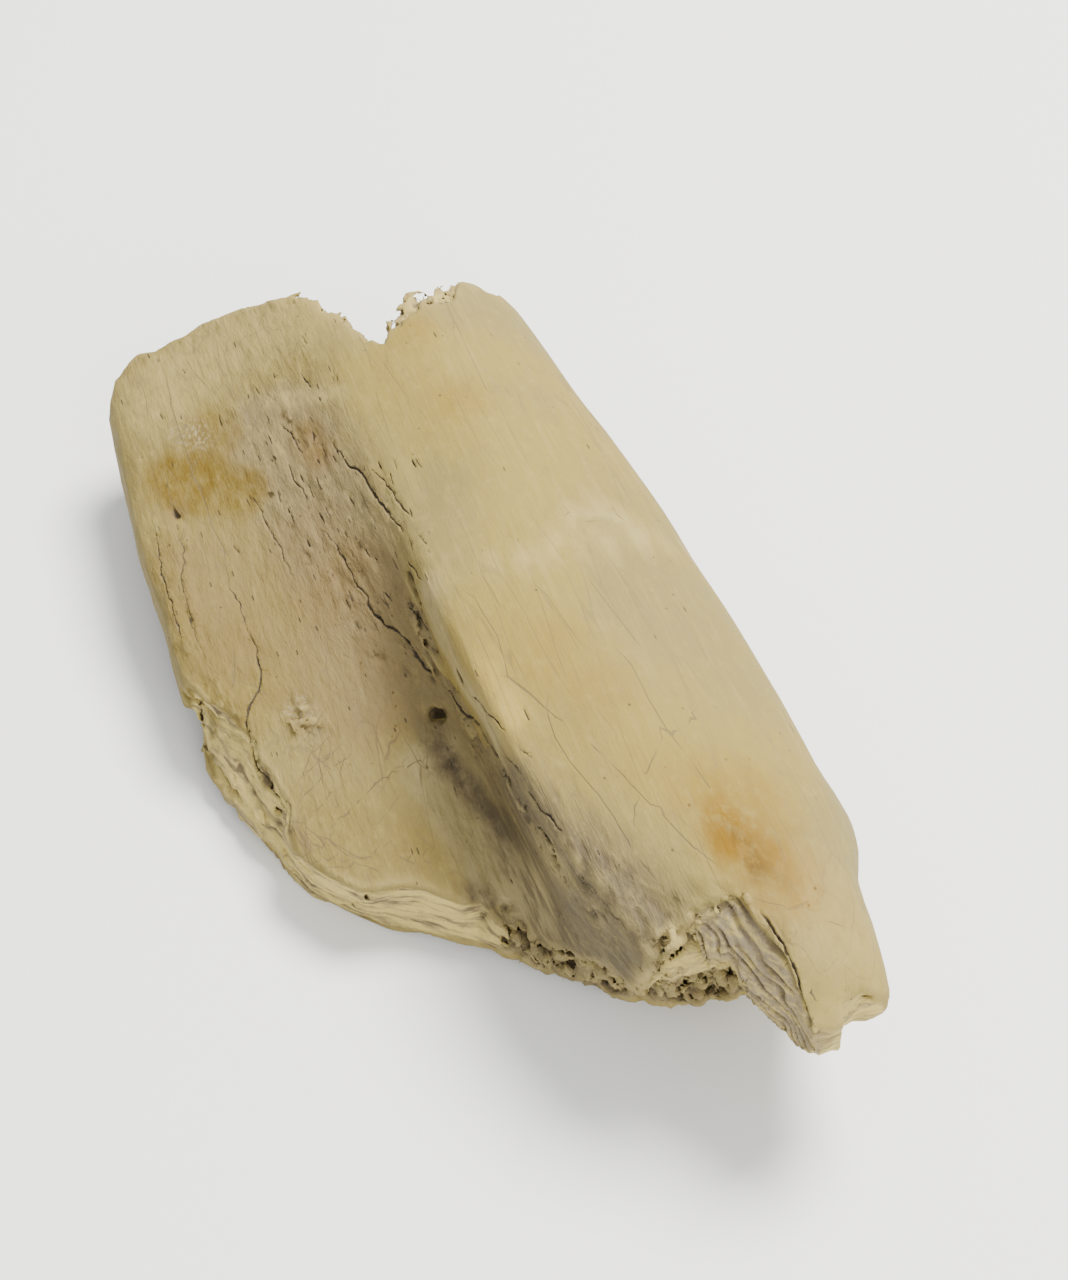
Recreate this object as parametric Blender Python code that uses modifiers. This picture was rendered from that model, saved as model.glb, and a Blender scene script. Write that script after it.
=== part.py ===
"""A broken piece of a large dinosaur's rib, fossilised, lying flat on its side.

A thick half-round ridge runs the whole length. A thinner plate stands out from its left side, low at
the near end and raised at the far end. A deep groove parts plate and ridge at the near end and fades
out into a slope further along. The plate's near and left edges and both ends of the bone are broken.

Design axes, in millimetres: +Y runs along the ridge from the near end (with the spur) to the far end,
+X points from the plate to the ridge, +Z is up and Z = 0 is what the bone lies on. The finished bone is
moved so that the origin is under the middle of its box.
"""

import bpy
import bmesh
import numpy as np
from mathutils import Matrix, Vector, noise
from mathutils.bvhtree import BVHTree

MM = 0.001

# The middle of the finished bone's footprint, in the design axes.
FOOTPRINT_MIDDLE = (-16.6, -15.45)

# Twelve points of the bone's cross-section at stations along Y: (y, (x, z) of ...)
#   plate: left foot, left side, left lip, top; groove foot; ridge: crest, top, right shoulder,
#   right side, right underside; keel under the ridge; belly under the plate.
STATIONS = [
    (-96, (-30, 8), (-30, 10), (-29, 12), (-22, 13), (-15, 15), (-8, 20),
     (4, 25.5), (12, 24.5), (15.5, 20.5), (12, 17), (0, 15), (-15, 10)),
    (-90, (-32, 6), (-33, 9), (-32, 12), (-24, 12), (-16, 14), (-9, 26),
     (3, 32), (14, 30), (17.5, 24.5), (14, 17), (0, 13.5), (-16, 8)),
    (-84, (-35, 5), (-36, 8), (-35, 12), (-26, 12), (-16, 13), (-11, 29),
     (2, 35), (15, 32), (18.5, 25), (15, 15), (0, 12), (-17, 7)),
    (-77, (-40, 3), (-41, 7), (-40, 11), (-28, 11), (-16, 12), (-13, 30.5),
     (1, 36.8), (15.5, 33.5), (19.3, 25), (16, 11), (1, 8), (-19, 5)),
    (-69, (-46, 1), (-47, 6), (-46, 10.5), (-31, 11), (-17.5, 11.5), (-15.5, 31.5),
     (0, 37.8), (16, 34), (21.8, 24), (17.5, 7), (3, 5), (-21, 4)),
    (-57, (-50, 0.4), (-51, 5), (-50, 10), (-35, 11), (-18.5, 11.5), (-17.3, 32.5),
     (-2, 38.3), (16, 34), (22.2, 22), (18, 4.5), (5, 1.4), (-23, 3)),
    (-45, (-49, -0.9), (-53, 5), (-52, 10), (-36, 12), (-19, 12.5), (-18.2, 33.5),
     (-3, 38.7), (16, 34), (22.3, 21.5), (18, 3.2), (6, -0.5), (-24, 2.5)),
    (-30, (-50, -0.7), (-54, 5.5), (-53, 11), (-37, 13), (-20.3, 14.5), (-19, 34),
     (-4, 39), (16, 34), (22.3, 21), (18, 3.2), (7, 0.3), (-25, 3.2)),
    (-15, (-54, 3), (-55, 8), (-54, 13), (-38, 15.5), (-24, 19), (-19.4, 33.7),
     (-4, 39), (16, 34), (22, 21), (18, 3.4), (7, 1.2), (-26, 7)),
    (0, (-54.5, 6), (-55.5, 11), (-54.5, 16), (-40, 18), (-27, 23.5), (-19, 33.5),
     (-4, 39), (16, 33.5), (21.7, 20.5), (18, 3.4), (7, 1.4), (-27, 10)),
    (15, (-54.5, 9), (-55.5, 13.5), (-54.5, 18), (-40, 20.5), (-29, 25.5), (-19, 33.5),
     (-4, 38.7), (15.5, 33), (20.8, 20.5), (17, 3), (7, 0.5), (-28, 12)),
    (30, (-54.5, 11), (-55.5, 15.5), (-54.5, 20), (-40, 22.5), (-30, 26.5), (-19, 33),
     (-4, 38.2), (15, 32), (19.8, 20), (16, 2.6), (6, -0.5), (-28, 14)),
    (45, (-54, 13), (-55, 17), (-53.5, 21), (-40, 24), (-30, 27.5), (-19, 33),
     (-4, 37.5), (14, 31), (18.3, 20), (15, 3), (5, 0.6), (-28, 15)),
    (60, (-52.5, 14), (-53.5, 18), (-52, 22), (-39, 25), (-30, 28), (-19, 32),
     (-4, 36.5), (13, 30), (17, 20), (14, 4), (4, 2), (-28, 16)),
    (76, (-50, 15), (-51, 18.5), (-49, 22), (-38, 25), (-30, 28), (-19, 31),
     (-4, 35.5), (12, 29), (16, 20), (13, 5), (4, 3), (-28, 16)),
]
SLICE = 2.0             # distance between the loft's rings
POINTS_PER_SPAN = 6     # points of a ring between two section points
SWELL = 0.4             # height of the surface's gentle lumps
SWELL_SIZE = 15.0       # their width
FIBRE_RELIEF = 0.22     # height of the long low ribs that the bone's fibres leave
FIBRE_WIDTH = 3.4       # their width; they run along Y
FIBRE_STRETCH = 0.16    # width of a rib over its length

# Plan outline of what is left of the bone, clockwise from the far left corner. Each point has its
# place low on the broken face and at the face's lip: (foot x, foot y, lip x, lip y).
FAR_EDGE = [
    (-52.5, 57.0, -53.5, 56.5), (-51.0, 59.0, -51.5, 60.0), (-49.0, 61.5, -49.6, 61.4),
    (-46.5, 61.6, -47.2, 63.4), (-44.0, 62.0, -44.2, 62.8), (-41.5, 61.4, -41.6, 63.9),
    (-38.0, 62.6, -38.7, 63.5), (-35.5, 62.6, -36.0, 65.0), (-32.0, 63.2, -32.8, 64.4),
    (-29.0, 62.0, -29.8, 64.6), (-26.5, 62.2, -26.6, 63.0), (-23.0, 60.2, -23.2, 62.4),
    (-19.8, 58.6, -19.4, 60.6), (-18.0, 54.0, -17.6, 56.4), (-16.4, 50.0, -16.0, 50.8),
    (-15.4, 46.0, -14.7, 46.4), (-14.2, 42.2, -13.7, 41.0), (-12.4, 39.8, -12.2, 38.0),
    (-10.4, 39.2, -10.6, 39.2), (-8.6, 41.4, -8.6, 40.4), (-6.6, 42.6, -7.0, 42.4),
    (-4.6, 42.2, -5.0, 42.6), (-3.0, 44.0, -3.4, 45.6), (-1.2, 43.4, -1.4, 43.6),
    (0.8, 44.0, 0.8, 43.8), (2.6, 46.2, 3.0, 47.6), (4.6, 46.8, 4.8, 50.2),
    (6.8, 46.4, 6.8, 50.8), (8.6, 45.0, 8.8, 47.4), (10.8, 44.4, 11.0, 46.6),
    (13.2, 44.6, 13.2, 45.4), (16.0, 43.4, 16.2, 44.8), (19.0, 43.0, 19.0, 43.4),
    (26.0, 42.0, 26.0, 42.0),
]
RIGHT_SIDE = [(30.0, 0.0, 30.0, 0.0), (30.0, -60.0, 30.0, -60.0), (28.0, -78.5, 28.0, -82.0)]
SPUR = [
    (20.0, -79.4, 20.0, -87.0), (17.5, -80.0, 16.9, -89.6), (15.0, -79.0, 15.2, -92.4),
    (13.4, -78.4, 13.2, -94.0), (11.8, -79.2, 11.2, -94.2), (10.4, -79.6, 10.2, -93.2),
    (9.4, -78.6, 9.2, -95.2), (8.0, -78.2, 7.0, -95.6), (7.4, -78.0, 4.8, -94.6),
    (6.8, -77.8, 3.4, -92.4), (6.4, -77.6, 3.2, -90.2), (5.8, -77.3, 2.6, -87.4),
    (5.2, -77.1, 1.2, -84.2), (4.2, -76.8, 0.6, -81.6),
]
FLANK_BREAK = [
    (2.6, -76.2, 0.4, -79.8), (0.8, -75.9, -0.6, -78.8), (-1.0, -75.4, -3.4, -80.0),
    (-2.6, -75.0, -5.4, -80.6), (-4.4, -74.4, -7.2, -79.2), (-6.0, -73.6, -8.8, -79.2),
    (-7.4, -72.6, -9.6, -80.8), (-8.8, -71.6, -11.2, -82.0), (-10.2, -70.4, -12.4, -80.4),
    (-11.6, -69.2, -13.8, -79.0),
]
NEAR_EDGE = [
    (-13.6, -67.6, -15.2, -74.6), (-15.6, -65.8, -16.2, -69.8), (-17.4, -63.8, -17.6, -65.6),
    (-19.4, -61.6, -19.2, -62.2), (-21.2, -59.4, -20.6, -58.8), (-23.0, -57.2, -22.4, -56.0),
    (-24.6, -55.8, -24.0, -55.4), (-26.6, -54.0, -24.4, -51.2), (-29.0, -51.8, -27.6, -51.2),
    (-31.6, -49.4, -29.8, -49.4), (-34.4, -47.0, -32.6, -47.2), (-37.2, -44.4, -36.4, -46.2),
    (-40.0, -42.0, -40.4, -45.4), (-43.2, -38.8, -43.0, -42.6),
]
NEAR_CORNER = [(-45.6, -36.2, -45.8, -38.8), (-47.2, -33.4, -47.4, -35.2)]
SPLINTERED_SIDE = [
    (-48.3, -30.6, -47.6, -32.2), (-48.6, -28.2, -46.5, -29.6), (-49.6, -26.6, -46.3, -27.4),
    (-51.2, -22.8, -47.4, -22.6), (-52.2, -20.0, -48.5, -19.6), (-53.6, -16.4, -48.3, -17.2),
    (-55.0, -12.4, -49.0, -14.6), (-55.3, -9.2, -50.5, -11.4), (-54.4, -4.6, -52.8, -7.6),
    (-54.2, -1.0, -53.8, -5.0),
]
LEFT_SIDE = [(-62.0, 3.0, -62.0, 3.0), (-62.0, 50.0, -62.0, 50.0)]
# The heights between which each stretch's broken face goes over from its foot to its lip.
FACES = [
    (FAR_EDGE, 10.0, 24.0), (RIGHT_SIDE, 5.0, 16.0), (SPUR, 9.0, 16.0), (FLANK_BREAK, 7.0, 17.0),
    (NEAR_EDGE, 1.0, 11.0), (NEAR_CORNER, 1.0, 9.0), (SPLINTERED_SIDE, 5.0, 12.5), (LEFT_SIDE, 5.0, 12.0),
]
OUTLINE_STEP = 1.6      # distance between points around the outline
LEVEL_STEP = 1.6        # distance between levels of the broken faces
ENVELOPE_HEIGHTS = (-3.0, 44.0)
BREAK_ROUGHNESS = 0.8   # how far a broken face wanders in and out
BREAK_GRAIN = 4.5       # width of its bumps
BREAK_STRETCH = 0.4     # width of a bump over its length along the fibres
FINE_GRAIN = 0.42       # width of the finer bumps on a broken face, as a share of the coarse ones'
FINE_ROUGHNESS = 0.6    # their height, as a share of the coarse ones'
FINE_SHIFT = (7.0, 3.0, 1.0)    # where the finer bumps' pattern starts

# Pits and hollows: name, centre, half sizes along X, Y and Z, turn about Z in degrees, roughness.
HOLLOWS = [
    ("marrow_hollow", (-0.8, -78.0, 16.0), (5.0, 12.5, 7.5), -8.0, 2.0),
    ("marrow_hollow_low", (1.6, -79.0, 11.0), (4.6, 6.5, 3.4), 10.0, 1.2),
    ("hollow_under_flank", (-9.8, -77.0, 16.5), (2.6, 6.0, 5.2), -14.0, 1.5),
    ("hollow_behind_lip", (-12.6, -74.5, 10.5), (2.2, 3.6, 2.6), 20.0, 1.0),
    ("hollow_under_spur", (8.0, -86.5, 8.5), (7.0, 9.0, 5.5), 0.0, 0.8),
    ("gap_under_side_layer", (-48.6, -24.0, 9.0), (4.6, 8.5, 1.5), 10.0, 0.5),
    ("side_split_low", (-53.6, -15.0, 5.6), (2.0, 7.0, 0.9), 12.0, 0.4),
    ("side_split_high", (-53.4, -7.0, 11.4), (2.2, 6.0, 0.9), 6.0, 0.4),
    ("step_under_near_lip", (-23.0, -56.4, 6.6), (2.6, 3.4, 2.2), 40.0, 0.8),
    ("near_ledge", (-35.0, -47.6, 8.0), (4.5, 1.5, 1.0), -35.0, 0.4),
    ("crest_chip", (-20.0, -29.6, 32.0), (1.9, 3.0, 2.4), 12.0, 0.5),
    ("crest_flake_far", (-19.4, -21.5, 32.6), (0.9, 4.0, 1.3), 4.0, 0.4),
    ("crest_flake_middle", (-19.0, -40.0, 32.6), (0.9, 5.0, 1.2), 6.0, 0.4),
    ("crest_flake_near", (-18.2, -53.0, 31.8), (0.8, 5.5, 1.1), 6.0, 0.4),
    ("flaked_scar", (-40.4, -15.8, 16.0), (2.6, 4.0, 1.5), 20.0, 0.4),
    ("plate_pit", (-48.8, 25.9, 21.4), (1.2, 1.7, 1.2), 0.0, 0.3),
    ("spur_pit", (12.6, -92.6, 27.6), (1.8, 1.4, 1.5), 0.0, 0.3),
]
# Holes of the spongy bone laid open at both breaks: centre and size.
SPONGE_HOLES = [
    ((-21.6, -59.6, 7.6), 1.9), ((-19.4, -62.6, 4.6), 1.5), ((-18.0, -65.0, 8.4), 2.0),
    ((-15.8, -67.2, 5.2), 1.6), ((-13.4, -70.0, 6.4), 1.7), ((-10.2, -71.6, 5.4), 1.3),
    ((-6.4, -75.0, 9.6), 1.4),
    ((11.0, 45.6, 22.0), 2.0), ((6.0, 46.8, 15.0), 2.2), ((0.6, 44.4, 24.0), 2.1),
    ((-4.0, 42.8, 17.0), 2.4), ((1.8, 45.0, 9.4), 1.9), ((-9.4, 40.2, 24.4), 1.9),
    ((12.4, 44.6, 13.0), 1.8), ((-28.0, 62.4, 21.6), 1.8), ((-36.0, 63.4, 19.8), 1.5),
]
# Spongy lumps that stand out of the ridge's far break: centre and size.
SPONGE_LUMPS = [
    ((-9.0, 40.6, 31.5), 1.9), ((-6.4, 43.2, 32.4), 1.8), ((-3.2, 45.2, 32.6), 1.7),
    ((0.6, 44.6, 31.2), 2.0), ((3.4, 47.6, 31.0), 1.8), ((8.4, 46.2, 28.4), 1.9),
    ((-4.6, 43.6, 25.0), 2.4), ((4.4, 46.0, 22.0), 2.6), ((-8.6, 42.0, 18.6), 2.3),
]
LUMP_SHAPE = (1.0, 0.8, 1.0)    # a lump's half sizes over its size
HOLE_SHAPE = (1.0, 1.3, 0.8)    # a hole's half sizes over its size
HOLE_TURN = 40.0                # how far the holes are turned about Z, in degrees
SPONGE_ROUGHNESS = 0.6          # roughness of the lumps and holes
BALL_DETAIL = 3                 # subdivisions of the spheres that pits, hollows and lumps are made from
BALL_GRAIN = 2.4                # width of the bumps on them
BALL_FINE_GRAIN = 2.3           # how many times finer their finer bumps are
BALL_FINE_ROUGHNESS = 0.5       # height of the finer bumps, as a share of the coarse ones'

# The nutrient foramen in the groove: its mouth, the way it goes in, radius and depth.
FORAMEN_MOUTH = (-23.4, -23.4, 17.2)
FORAMEN_WAY = (0.72, 0.52, -0.46)
FORAMEN_RADIUS = 2.1
FORAMEN_DEPTH = 7.0
FORAMEN_SIDES = 20

# Open cracks: (x, y) points along each crack on the upper surface, and its half width.
CRACKS = [
    ([(-25.4, 40.0), (-24.2, 31.0), (-23.4, 25.0), (-22.0, 14.0), (-20.6, 7.0), (-19.2, -2.0),
      (-18.6, -9.0)], 0.65),
    ([(-28.0, 8.0), (-27.0, 0.0), (-25.2, -6.0), (-23.4, -12.0), (-22.6, -17.0)], 0.75),
    ([(-52.2, 22.0), (-51.0, 10.0), (-50.0, 0.0), (-48.0, -9.0), (-47.6, -15.0)], 0.55),
]
CRACK_SIDES = 1         # bevel resolution of the tubes that cut the cracks
CRACK_END = 0.35        # how far a crack narrows at its ends
MERGE_DISTANCE = 0.001  # points of the tubes that are closer than this are one

VOXEL = 0.62            # resolution at which all the forms are fused
KEPT_SHARE = 0.05       # share of the fused mesh's triangles that is kept
GROUND_SIZE = (200.0, 300.0, 20.0)      # the block below Z = 0

BONE_COLOUR = (0.56, 0.46, 0.29, 1.0)
BONE_ROUGHNESS = 0.72


def clear_scene():
    """Remove every object and the collections that a fresh scene starts with."""
    for obj in list(bpy.data.objects):
        bpy.data.objects.remove(obj, do_unlink=True)
    for collection in list(bpy.data.collections):
        bpy.data.collections.remove(collection)


def new_collection(name):
    collection = bpy.data.collections.new(name)
    bpy.context.scene.collection.children.link(collection)
    return collection


def mesh_object(name, points, faces, collection):
    """An object from points in millimetres."""
    mesh = bpy.data.meshes.new(name)
    mesh.from_pydata([Vector(point) * MM for point in points], [], faces)
    mesh.update()
    obj = bpy.data.objects.new(name, mesh)
    collection.objects.link(obj)
    return obj


def as_cutter(obj):
    obj.hide_render = True
    obj.display_type = "WIRE"
    return obj


def smoothstep(share):
    share = min(max(share, 0.0), 1.0)
    return share * share * (3.0 - 2.0 * share)


def station_slopes(places, values):
    """Slope of each column at each station, weighted by the distances to its neighbours."""
    steps = np.diff(places)
    rates = np.diff(values, axis=0) / steps[:, None, None]
    slopes = np.empty_like(values)
    slopes[0], slopes[-1] = rates[0], rates[-1]
    before, after = steps[:-1, None, None], steps[1:, None, None]
    slopes[1:-1] = (rates[:-1] * after + rates[1:] * before) / (before + after)
    return slopes


STATION_Y = np.array([station[0] for station in STATIONS], dtype=float)
STATION_POINTS = np.array([station[1:] for station in STATIONS], dtype=float)
STATION_SLOPES = station_slopes(STATION_Y, STATION_POINTS)


def section_corners(y):
    """The twelve section points at y, by cubic interpolation between the stations."""
    index = int(np.clip(np.searchsorted(STATION_Y, y) - 1, 0, len(STATION_Y) - 2))
    step = STATION_Y[index + 1] - STATION_Y[index]
    t = float(np.clip((y - STATION_Y[index]) / step, 0.0, 1.0))
    return ((2 * t**3 - 3 * t**2 + 1) * STATION_POINTS[index]
            + (t**3 - 2 * t**2 + t) * step * STATION_SLOPES[index]
            + (3 * t**2 - 2 * t**3) * STATION_POINTS[index + 1]
            + (t**3 - t**2) * step * STATION_SLOPES[index + 1])


def closed_curve(corners, per_span):
    """Points of a closed centripetal Catmull-Rom curve through the corners."""
    count = len(corners)
    curve = []
    for index in range(count):
        p0, p1, p2, p3 = (corners[(index + shift) % count] for shift in (-1, 0, 1, 2))
        t1 = np.linalg.norm(p1 - p0) ** 0.5
        t2 = t1 + np.linalg.norm(p2 - p1) ** 0.5
        t3 = t2 + np.linalg.norm(p3 - p2) ** 0.5
        for t in np.linspace(t1, t2, per_span, endpoint=False):
            a1 = ((t1 - t) * p0 + t * p1) / t1
            a2 = ((t2 - t) * p1 + (t - t1) * p2) / (t2 - t1)
            a3 = ((t3 - t) * p2 + (t - t2) * p3) / (t3 - t2)
            b1 = ((t2 - t) * a1 + t * a2) / t2
            b2 = ((t3 - t) * a2 + (t - t1) * a3) / (t3 - t1)
            curve.append(((t2 - t) * b1 + (t - t1) * b2) / (t2 - t1))
    return np.array(curve)


def swelling(x, y, z):
    """How far the surface stands out at a point: gentle lumps, and ribs along the fibres."""
    lumps = SWELL * noise.noise(Vector((x, y, z)) / SWELL_SIZE)
    ribs = FIBRE_RELIEF * noise.noise(Vector((x, y * FIBRE_STRETCH, z)) / FIBRE_WIDTH)
    return lumps + ribs


def section_ring(y):
    """One ring of the bone's outer form, with its gentle lumps, as (x, y, z) points."""
    curve = closed_curve(section_corners(y), POINTS_PER_SPAN)
    along = np.roll(curve, -1, axis=0) - np.roll(curve, 1, axis=0)
    outward = np.column_stack([-along[:, 1], along[:, 0]])
    outward /= np.linalg.norm(outward, axis=1)[:, None]
    lumps = np.array([swelling(x, y, z) for x, z in curve])
    curve = curve + outward * lumps[:, None]
    return [(x, y, z) for x, z in curve]


def loft(name, rings, collection):
    """A closed solid through rings that all have the same number of points."""
    count = len(rings[0])
    points = [point for ring in rings for point in ring]
    faces = [tuple(range(count)), tuple(reversed(range(len(points) - count, len(points))))]
    for ring in range(len(rings) - 1):
        for index in range(count):
            here, following = ring * count + index, ring * count + (index + 1) % count
            faces.append((here, here + count, following + count, following))
    obj = mesh_object(name, points, faces, collection)
    shell = bmesh.new()
    shell.from_mesh(obj.data)
    bmesh.ops.triangulate(shell, faces=shell.faces)
    bmesh.ops.recalc_face_normals(shell, faces=shell.faces)
    shell.to_mesh(obj.data)
    shell.free()
    return obj


def bone_form(collection):
    """The whole bone's outer form, carried on past both broken ends."""
    rings = [section_ring(y) for y in np.arange(STATION_Y[0], STATION_Y[-1] + SLICE / 2, SLICE)]
    return loft("rib_bone", rings, collection)


def outline_rows():
    """Each outline point with the heights of its stretch of broken face."""
    return [(*point, low, high) for stretch, low, high in FACES for point in stretch]


def even_outline():
    """The outline's rows, interpolated to an even spacing around it."""
    rows = np.array(outline_rows())
    closed = np.vstack([rows, rows[:1]])
    lengths = np.linalg.norm(np.diff(closed[:, 2:4], axis=0), axis=1)
    places = np.concatenate([[0.0], np.cumsum(lengths)])
    wanted = np.linspace(0.0, places[-1], int(places[-1] / OUTLINE_STEP), endpoint=False)
    return np.column_stack([np.interp(wanted, places, closed[:, column]) for column in range(6)])


def break_wander(x, y, z):
    """How far a broken face stands out or in at a point: coarse steps and finer bumps."""
    place = Vector((x, y * BREAK_STRETCH, z))
    coarse = noise.noise(place / BREAK_GRAIN)
    fine = noise.noise(place / (BREAK_GRAIN * FINE_GRAIN) + Vector(FINE_SHIFT))
    return BREAK_ROUGHNESS * (coarse + FINE_ROUGHNESS * fine)


def break_envelope(collection):
    """The space inside the broken faces: a stack of outlines, each wandering on its own."""
    rows = even_outline()
    rings = []
    for z in np.arange(ENVELOPE_HEIGHTS[0], ENVELOPE_HEIGHTS[1], LEVEL_STEP):
        shares = np.array([smoothstep((z - low) / (high - low)) for low, high in rows[:, 4:6]])
        ring = rows[:, 0:2] * (1.0 - shares[:, None]) + rows[:, 2:4] * shares[:, None]
        along = np.roll(ring, -1, axis=0) - np.roll(ring, 1, axis=0)
        across = np.column_stack([along[:, 1], -along[:, 0]])
        across /= np.linalg.norm(across, axis=1)[:, None]
        wander = np.array([break_wander(x, y, z) for x, y in ring])
        ring = ring + across * wander[:, None]
        rings.append([(x, y, z) for x, y in ring])
    return as_cutter(loft("break_envelope", rings, collection))


def rough_ball(name, centre, half_sizes, turn_degrees, roughness, collection):
    """An ellipsoid with a bumpy surface, for a pit, a hollow or a lump."""
    ball = bmesh.new()
    bmesh.ops.create_icosphere(ball, subdivisions=BALL_DETAIL, radius=1.0)
    turn = Matrix.Rotation(np.radians(turn_degrees), 3, "Z")
    for vertex in ball.verts:
        way = vertex.co.normalized()
        spot = turn @ Vector(way[axis] * half_sizes[axis] for axis in range(3)) + Vector(centre)
        grain = Vector((spot.x, spot.y * BREAK_STRETCH, spot.z)) / BALL_GRAIN
        fine = noise.noise(grain * BALL_FINE_GRAIN)
        bump = roughness * (noise.noise(grain) + BALL_FINE_ROUGHNESS * fine)
        vertex.co = (spot + (turn @ way) * bump) * MM
    mesh = bpy.data.meshes.new(name)
    ball.to_mesh(mesh)
    ball.free()
    obj = bpy.data.objects.new(name, mesh)
    collection.objects.link(obj)
    return as_cutter(obj)


def foramen(collection):
    """The round hole in the groove's upper end."""
    bpy.ops.mesh.primitive_cylinder_add(
        vertices=FORAMEN_SIDES, radius=FORAMEN_RADIUS * MM, depth=2 * FORAMEN_DEPTH * MM)
    drill = bpy.context.object
    drill.name = "foramen"
    drill.location = Vector(FORAMEN_MOUTH) * MM
    drill.rotation_euler = Vector(FORAMEN_WAY).to_track_quat("Z", "Y").to_euler()
    for owner in list(drill.users_collection):
        owner.objects.unlink(drill)
    collection.objects.link(drill)
    return as_cutter(drill)


def on_upper_surface(tree, x, y):
    """The point of the bone's upper surface above (x, y), in metres."""
    hit = tree.ray_cast(Vector((x, y, ENVELOPE_HEIGHTS[1])) * MM, Vector((0.0, 0.0, -1.0)))
    return hit[0]


def open_cracks(tree, collection):
    """Tubes along the surface, all in one cutter, which cut a groove for each open crack."""
    curve = bpy.data.curves.new("crack_lines", "CURVE")
    curve.dimensions = "3D"
    curve.bevel_depth = MM
    curve.bevel_resolution = CRACK_SIDES
    curve.use_fill_caps = True
    for path, half_width in CRACKS:
        spline = curve.splines.new("POLY")
        spline.points.add(len(path) - 1)
        for index, (x, y) in enumerate(path):
            spline.points[index].co = (*on_upper_surface(tree, x, y), 1.0)
            spline.points[index].radius = half_width
        spline.points[0].radius = spline.points[-1].radius = half_width * CRACK_END
    tubes = bpy.data.objects.new("crack_lines", curve)
    collection.objects.link(tubes)
    bpy.context.view_layer.update()
    mesh = bpy.data.meshes.new_from_object(tubes.evaluated_get(bpy.context.evaluated_depsgraph_get()))
    solid = bmesh.new()
    solid.from_mesh(mesh)
    bmesh.ops.remove_doubles(solid, verts=solid.verts, dist=MERGE_DISTANCE * MM)
    bmesh.ops.triangulate(solid, faces=solid.faces)
    bmesh.ops.recalc_face_normals(solid, faces=solid.faces)
    solid.to_mesh(mesh)
    solid.free()
    cutter = bpy.data.objects.new("open_cracks", mesh)
    cutter.matrix_world = tubes.matrix_world
    collection.objects.link(cutter)
    bpy.data.objects.remove(tubes)
    return as_cutter(cutter)


def ground(collection):
    """A block below Z = 0, which gives the bone the small flats it rests on."""
    bpy.ops.mesh.primitive_cube_add(size=1.0)
    block = bpy.context.object
    block.name = "ground"
    block.scale = Vector(GROUND_SIZE) * MM
    block.location = (0.0, 0.0, -GROUND_SIZE[2] / 2 * MM)
    for owner in list(block.users_collection):
        owner.objects.unlink(block)
    collection.objects.link(block)
    return as_cutter(block)


def add_boolean(obj, operation, other):
    modifier = obj.modifiers.new(other.name, "BOOLEAN")
    modifier.operation = operation
    modifier.solver = "EXACT"
    modifier.object = other


def bone_material():
    """Warm cream fossil bone, dull."""
    material = bpy.data.materials.new("fossil_bone")
    material.use_nodes = True
    shader = material.node_tree.nodes["Principled BSDF"]
    shader.inputs["Base Color"].default_value = BONE_COLOUR
    shader.inputs["Roughness"].default_value = BONE_ROUGHNESS
    shader.inputs["Metallic"].default_value = 0.0
    return material


def move_to_origin(objects):
    """Shift everything so that the origin is under the middle of the bone's box."""
    shift = Vector((-FOOTPRINT_MIDDLE[0], -FOOTPRINT_MIDDLE[1], 0.0)) * MM
    for obj in objects:
        obj.location = obj.location + shift


def main():
    clear_scene()
    parts = new_collection("fossil_rib")
    cutters = new_collection("cutters")

    bone = bone_form(parts)
    bone.data.materials.append(bone_material())
    bone_mesh = bmesh.new()
    bone_mesh.from_mesh(bone.data)
    tree = BVHTree.FromBMesh(bone_mesh)
    bone_mesh.free()

    add_boolean(bone, "DIFFERENCE", open_cracks(tree, cutters))
    add_boolean(bone, "INTERSECT", break_envelope(cutters))
    for index, (centre, size) in enumerate(SPONGE_LUMPS):
        half_sizes = [size * share for share in LUMP_SHAPE]
        lump = rough_ball(f"sponge_lump_{index}", centre, half_sizes, 0.0, SPONGE_ROUGHNESS, cutters)
        add_boolean(bone, "UNION", lump)
    for name, centre, half_sizes, turn, roughness in HOLLOWS:
        hollow = rough_ball(name, centre, half_sizes, turn, roughness, cutters)
        add_boolean(bone, "DIFFERENCE", hollow)
    for index, (centre, size) in enumerate(SPONGE_HOLES):
        half_sizes = [size * share for share in HOLE_SHAPE]
        hole = rough_ball(f"sponge_hole_{index}", centre, half_sizes, HOLE_TURN, SPONGE_ROUGHNESS, cutters)
        add_boolean(bone, "DIFFERENCE", hole)
    add_boolean(bone, "DIFFERENCE", foramen(cutters))

    fuse = bone.modifiers.new("fuse", "REMESH")
    fuse.mode = "VOXEL"
    fuse.voxel_size = VOXEL * MM
    thin_out = bone.modifiers.new("thin_out", "DECIMATE")
    thin_out.ratio = KEPT_SHARE
    add_boolean(bone, "DIFFERENCE", ground(cutters))

    move_to_origin(list(parts.objects) + list(cutters.objects))


main()
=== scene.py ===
"""Looks of the fossil rib fragment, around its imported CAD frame.

The bone is one piece. Its outer form, its broken faces and its hollows are fields of signed distance
on a grid (negative inside the bone), in millimetres and in the axes below. There they are joined with
the pores, gaps and flakes. The surface is meshed and thinned out, gets finer triangles where cracks
and the ribs of the fibrous wall are pressed into it, and carries the attributes its material reads.

Design axes, in millimetres: +Y runs along the ridge from the near end (with the spur) to the far end,
+X points from the plate to the ridge, +Z is up and Z = 0 is what the bone lies on.
"""

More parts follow.
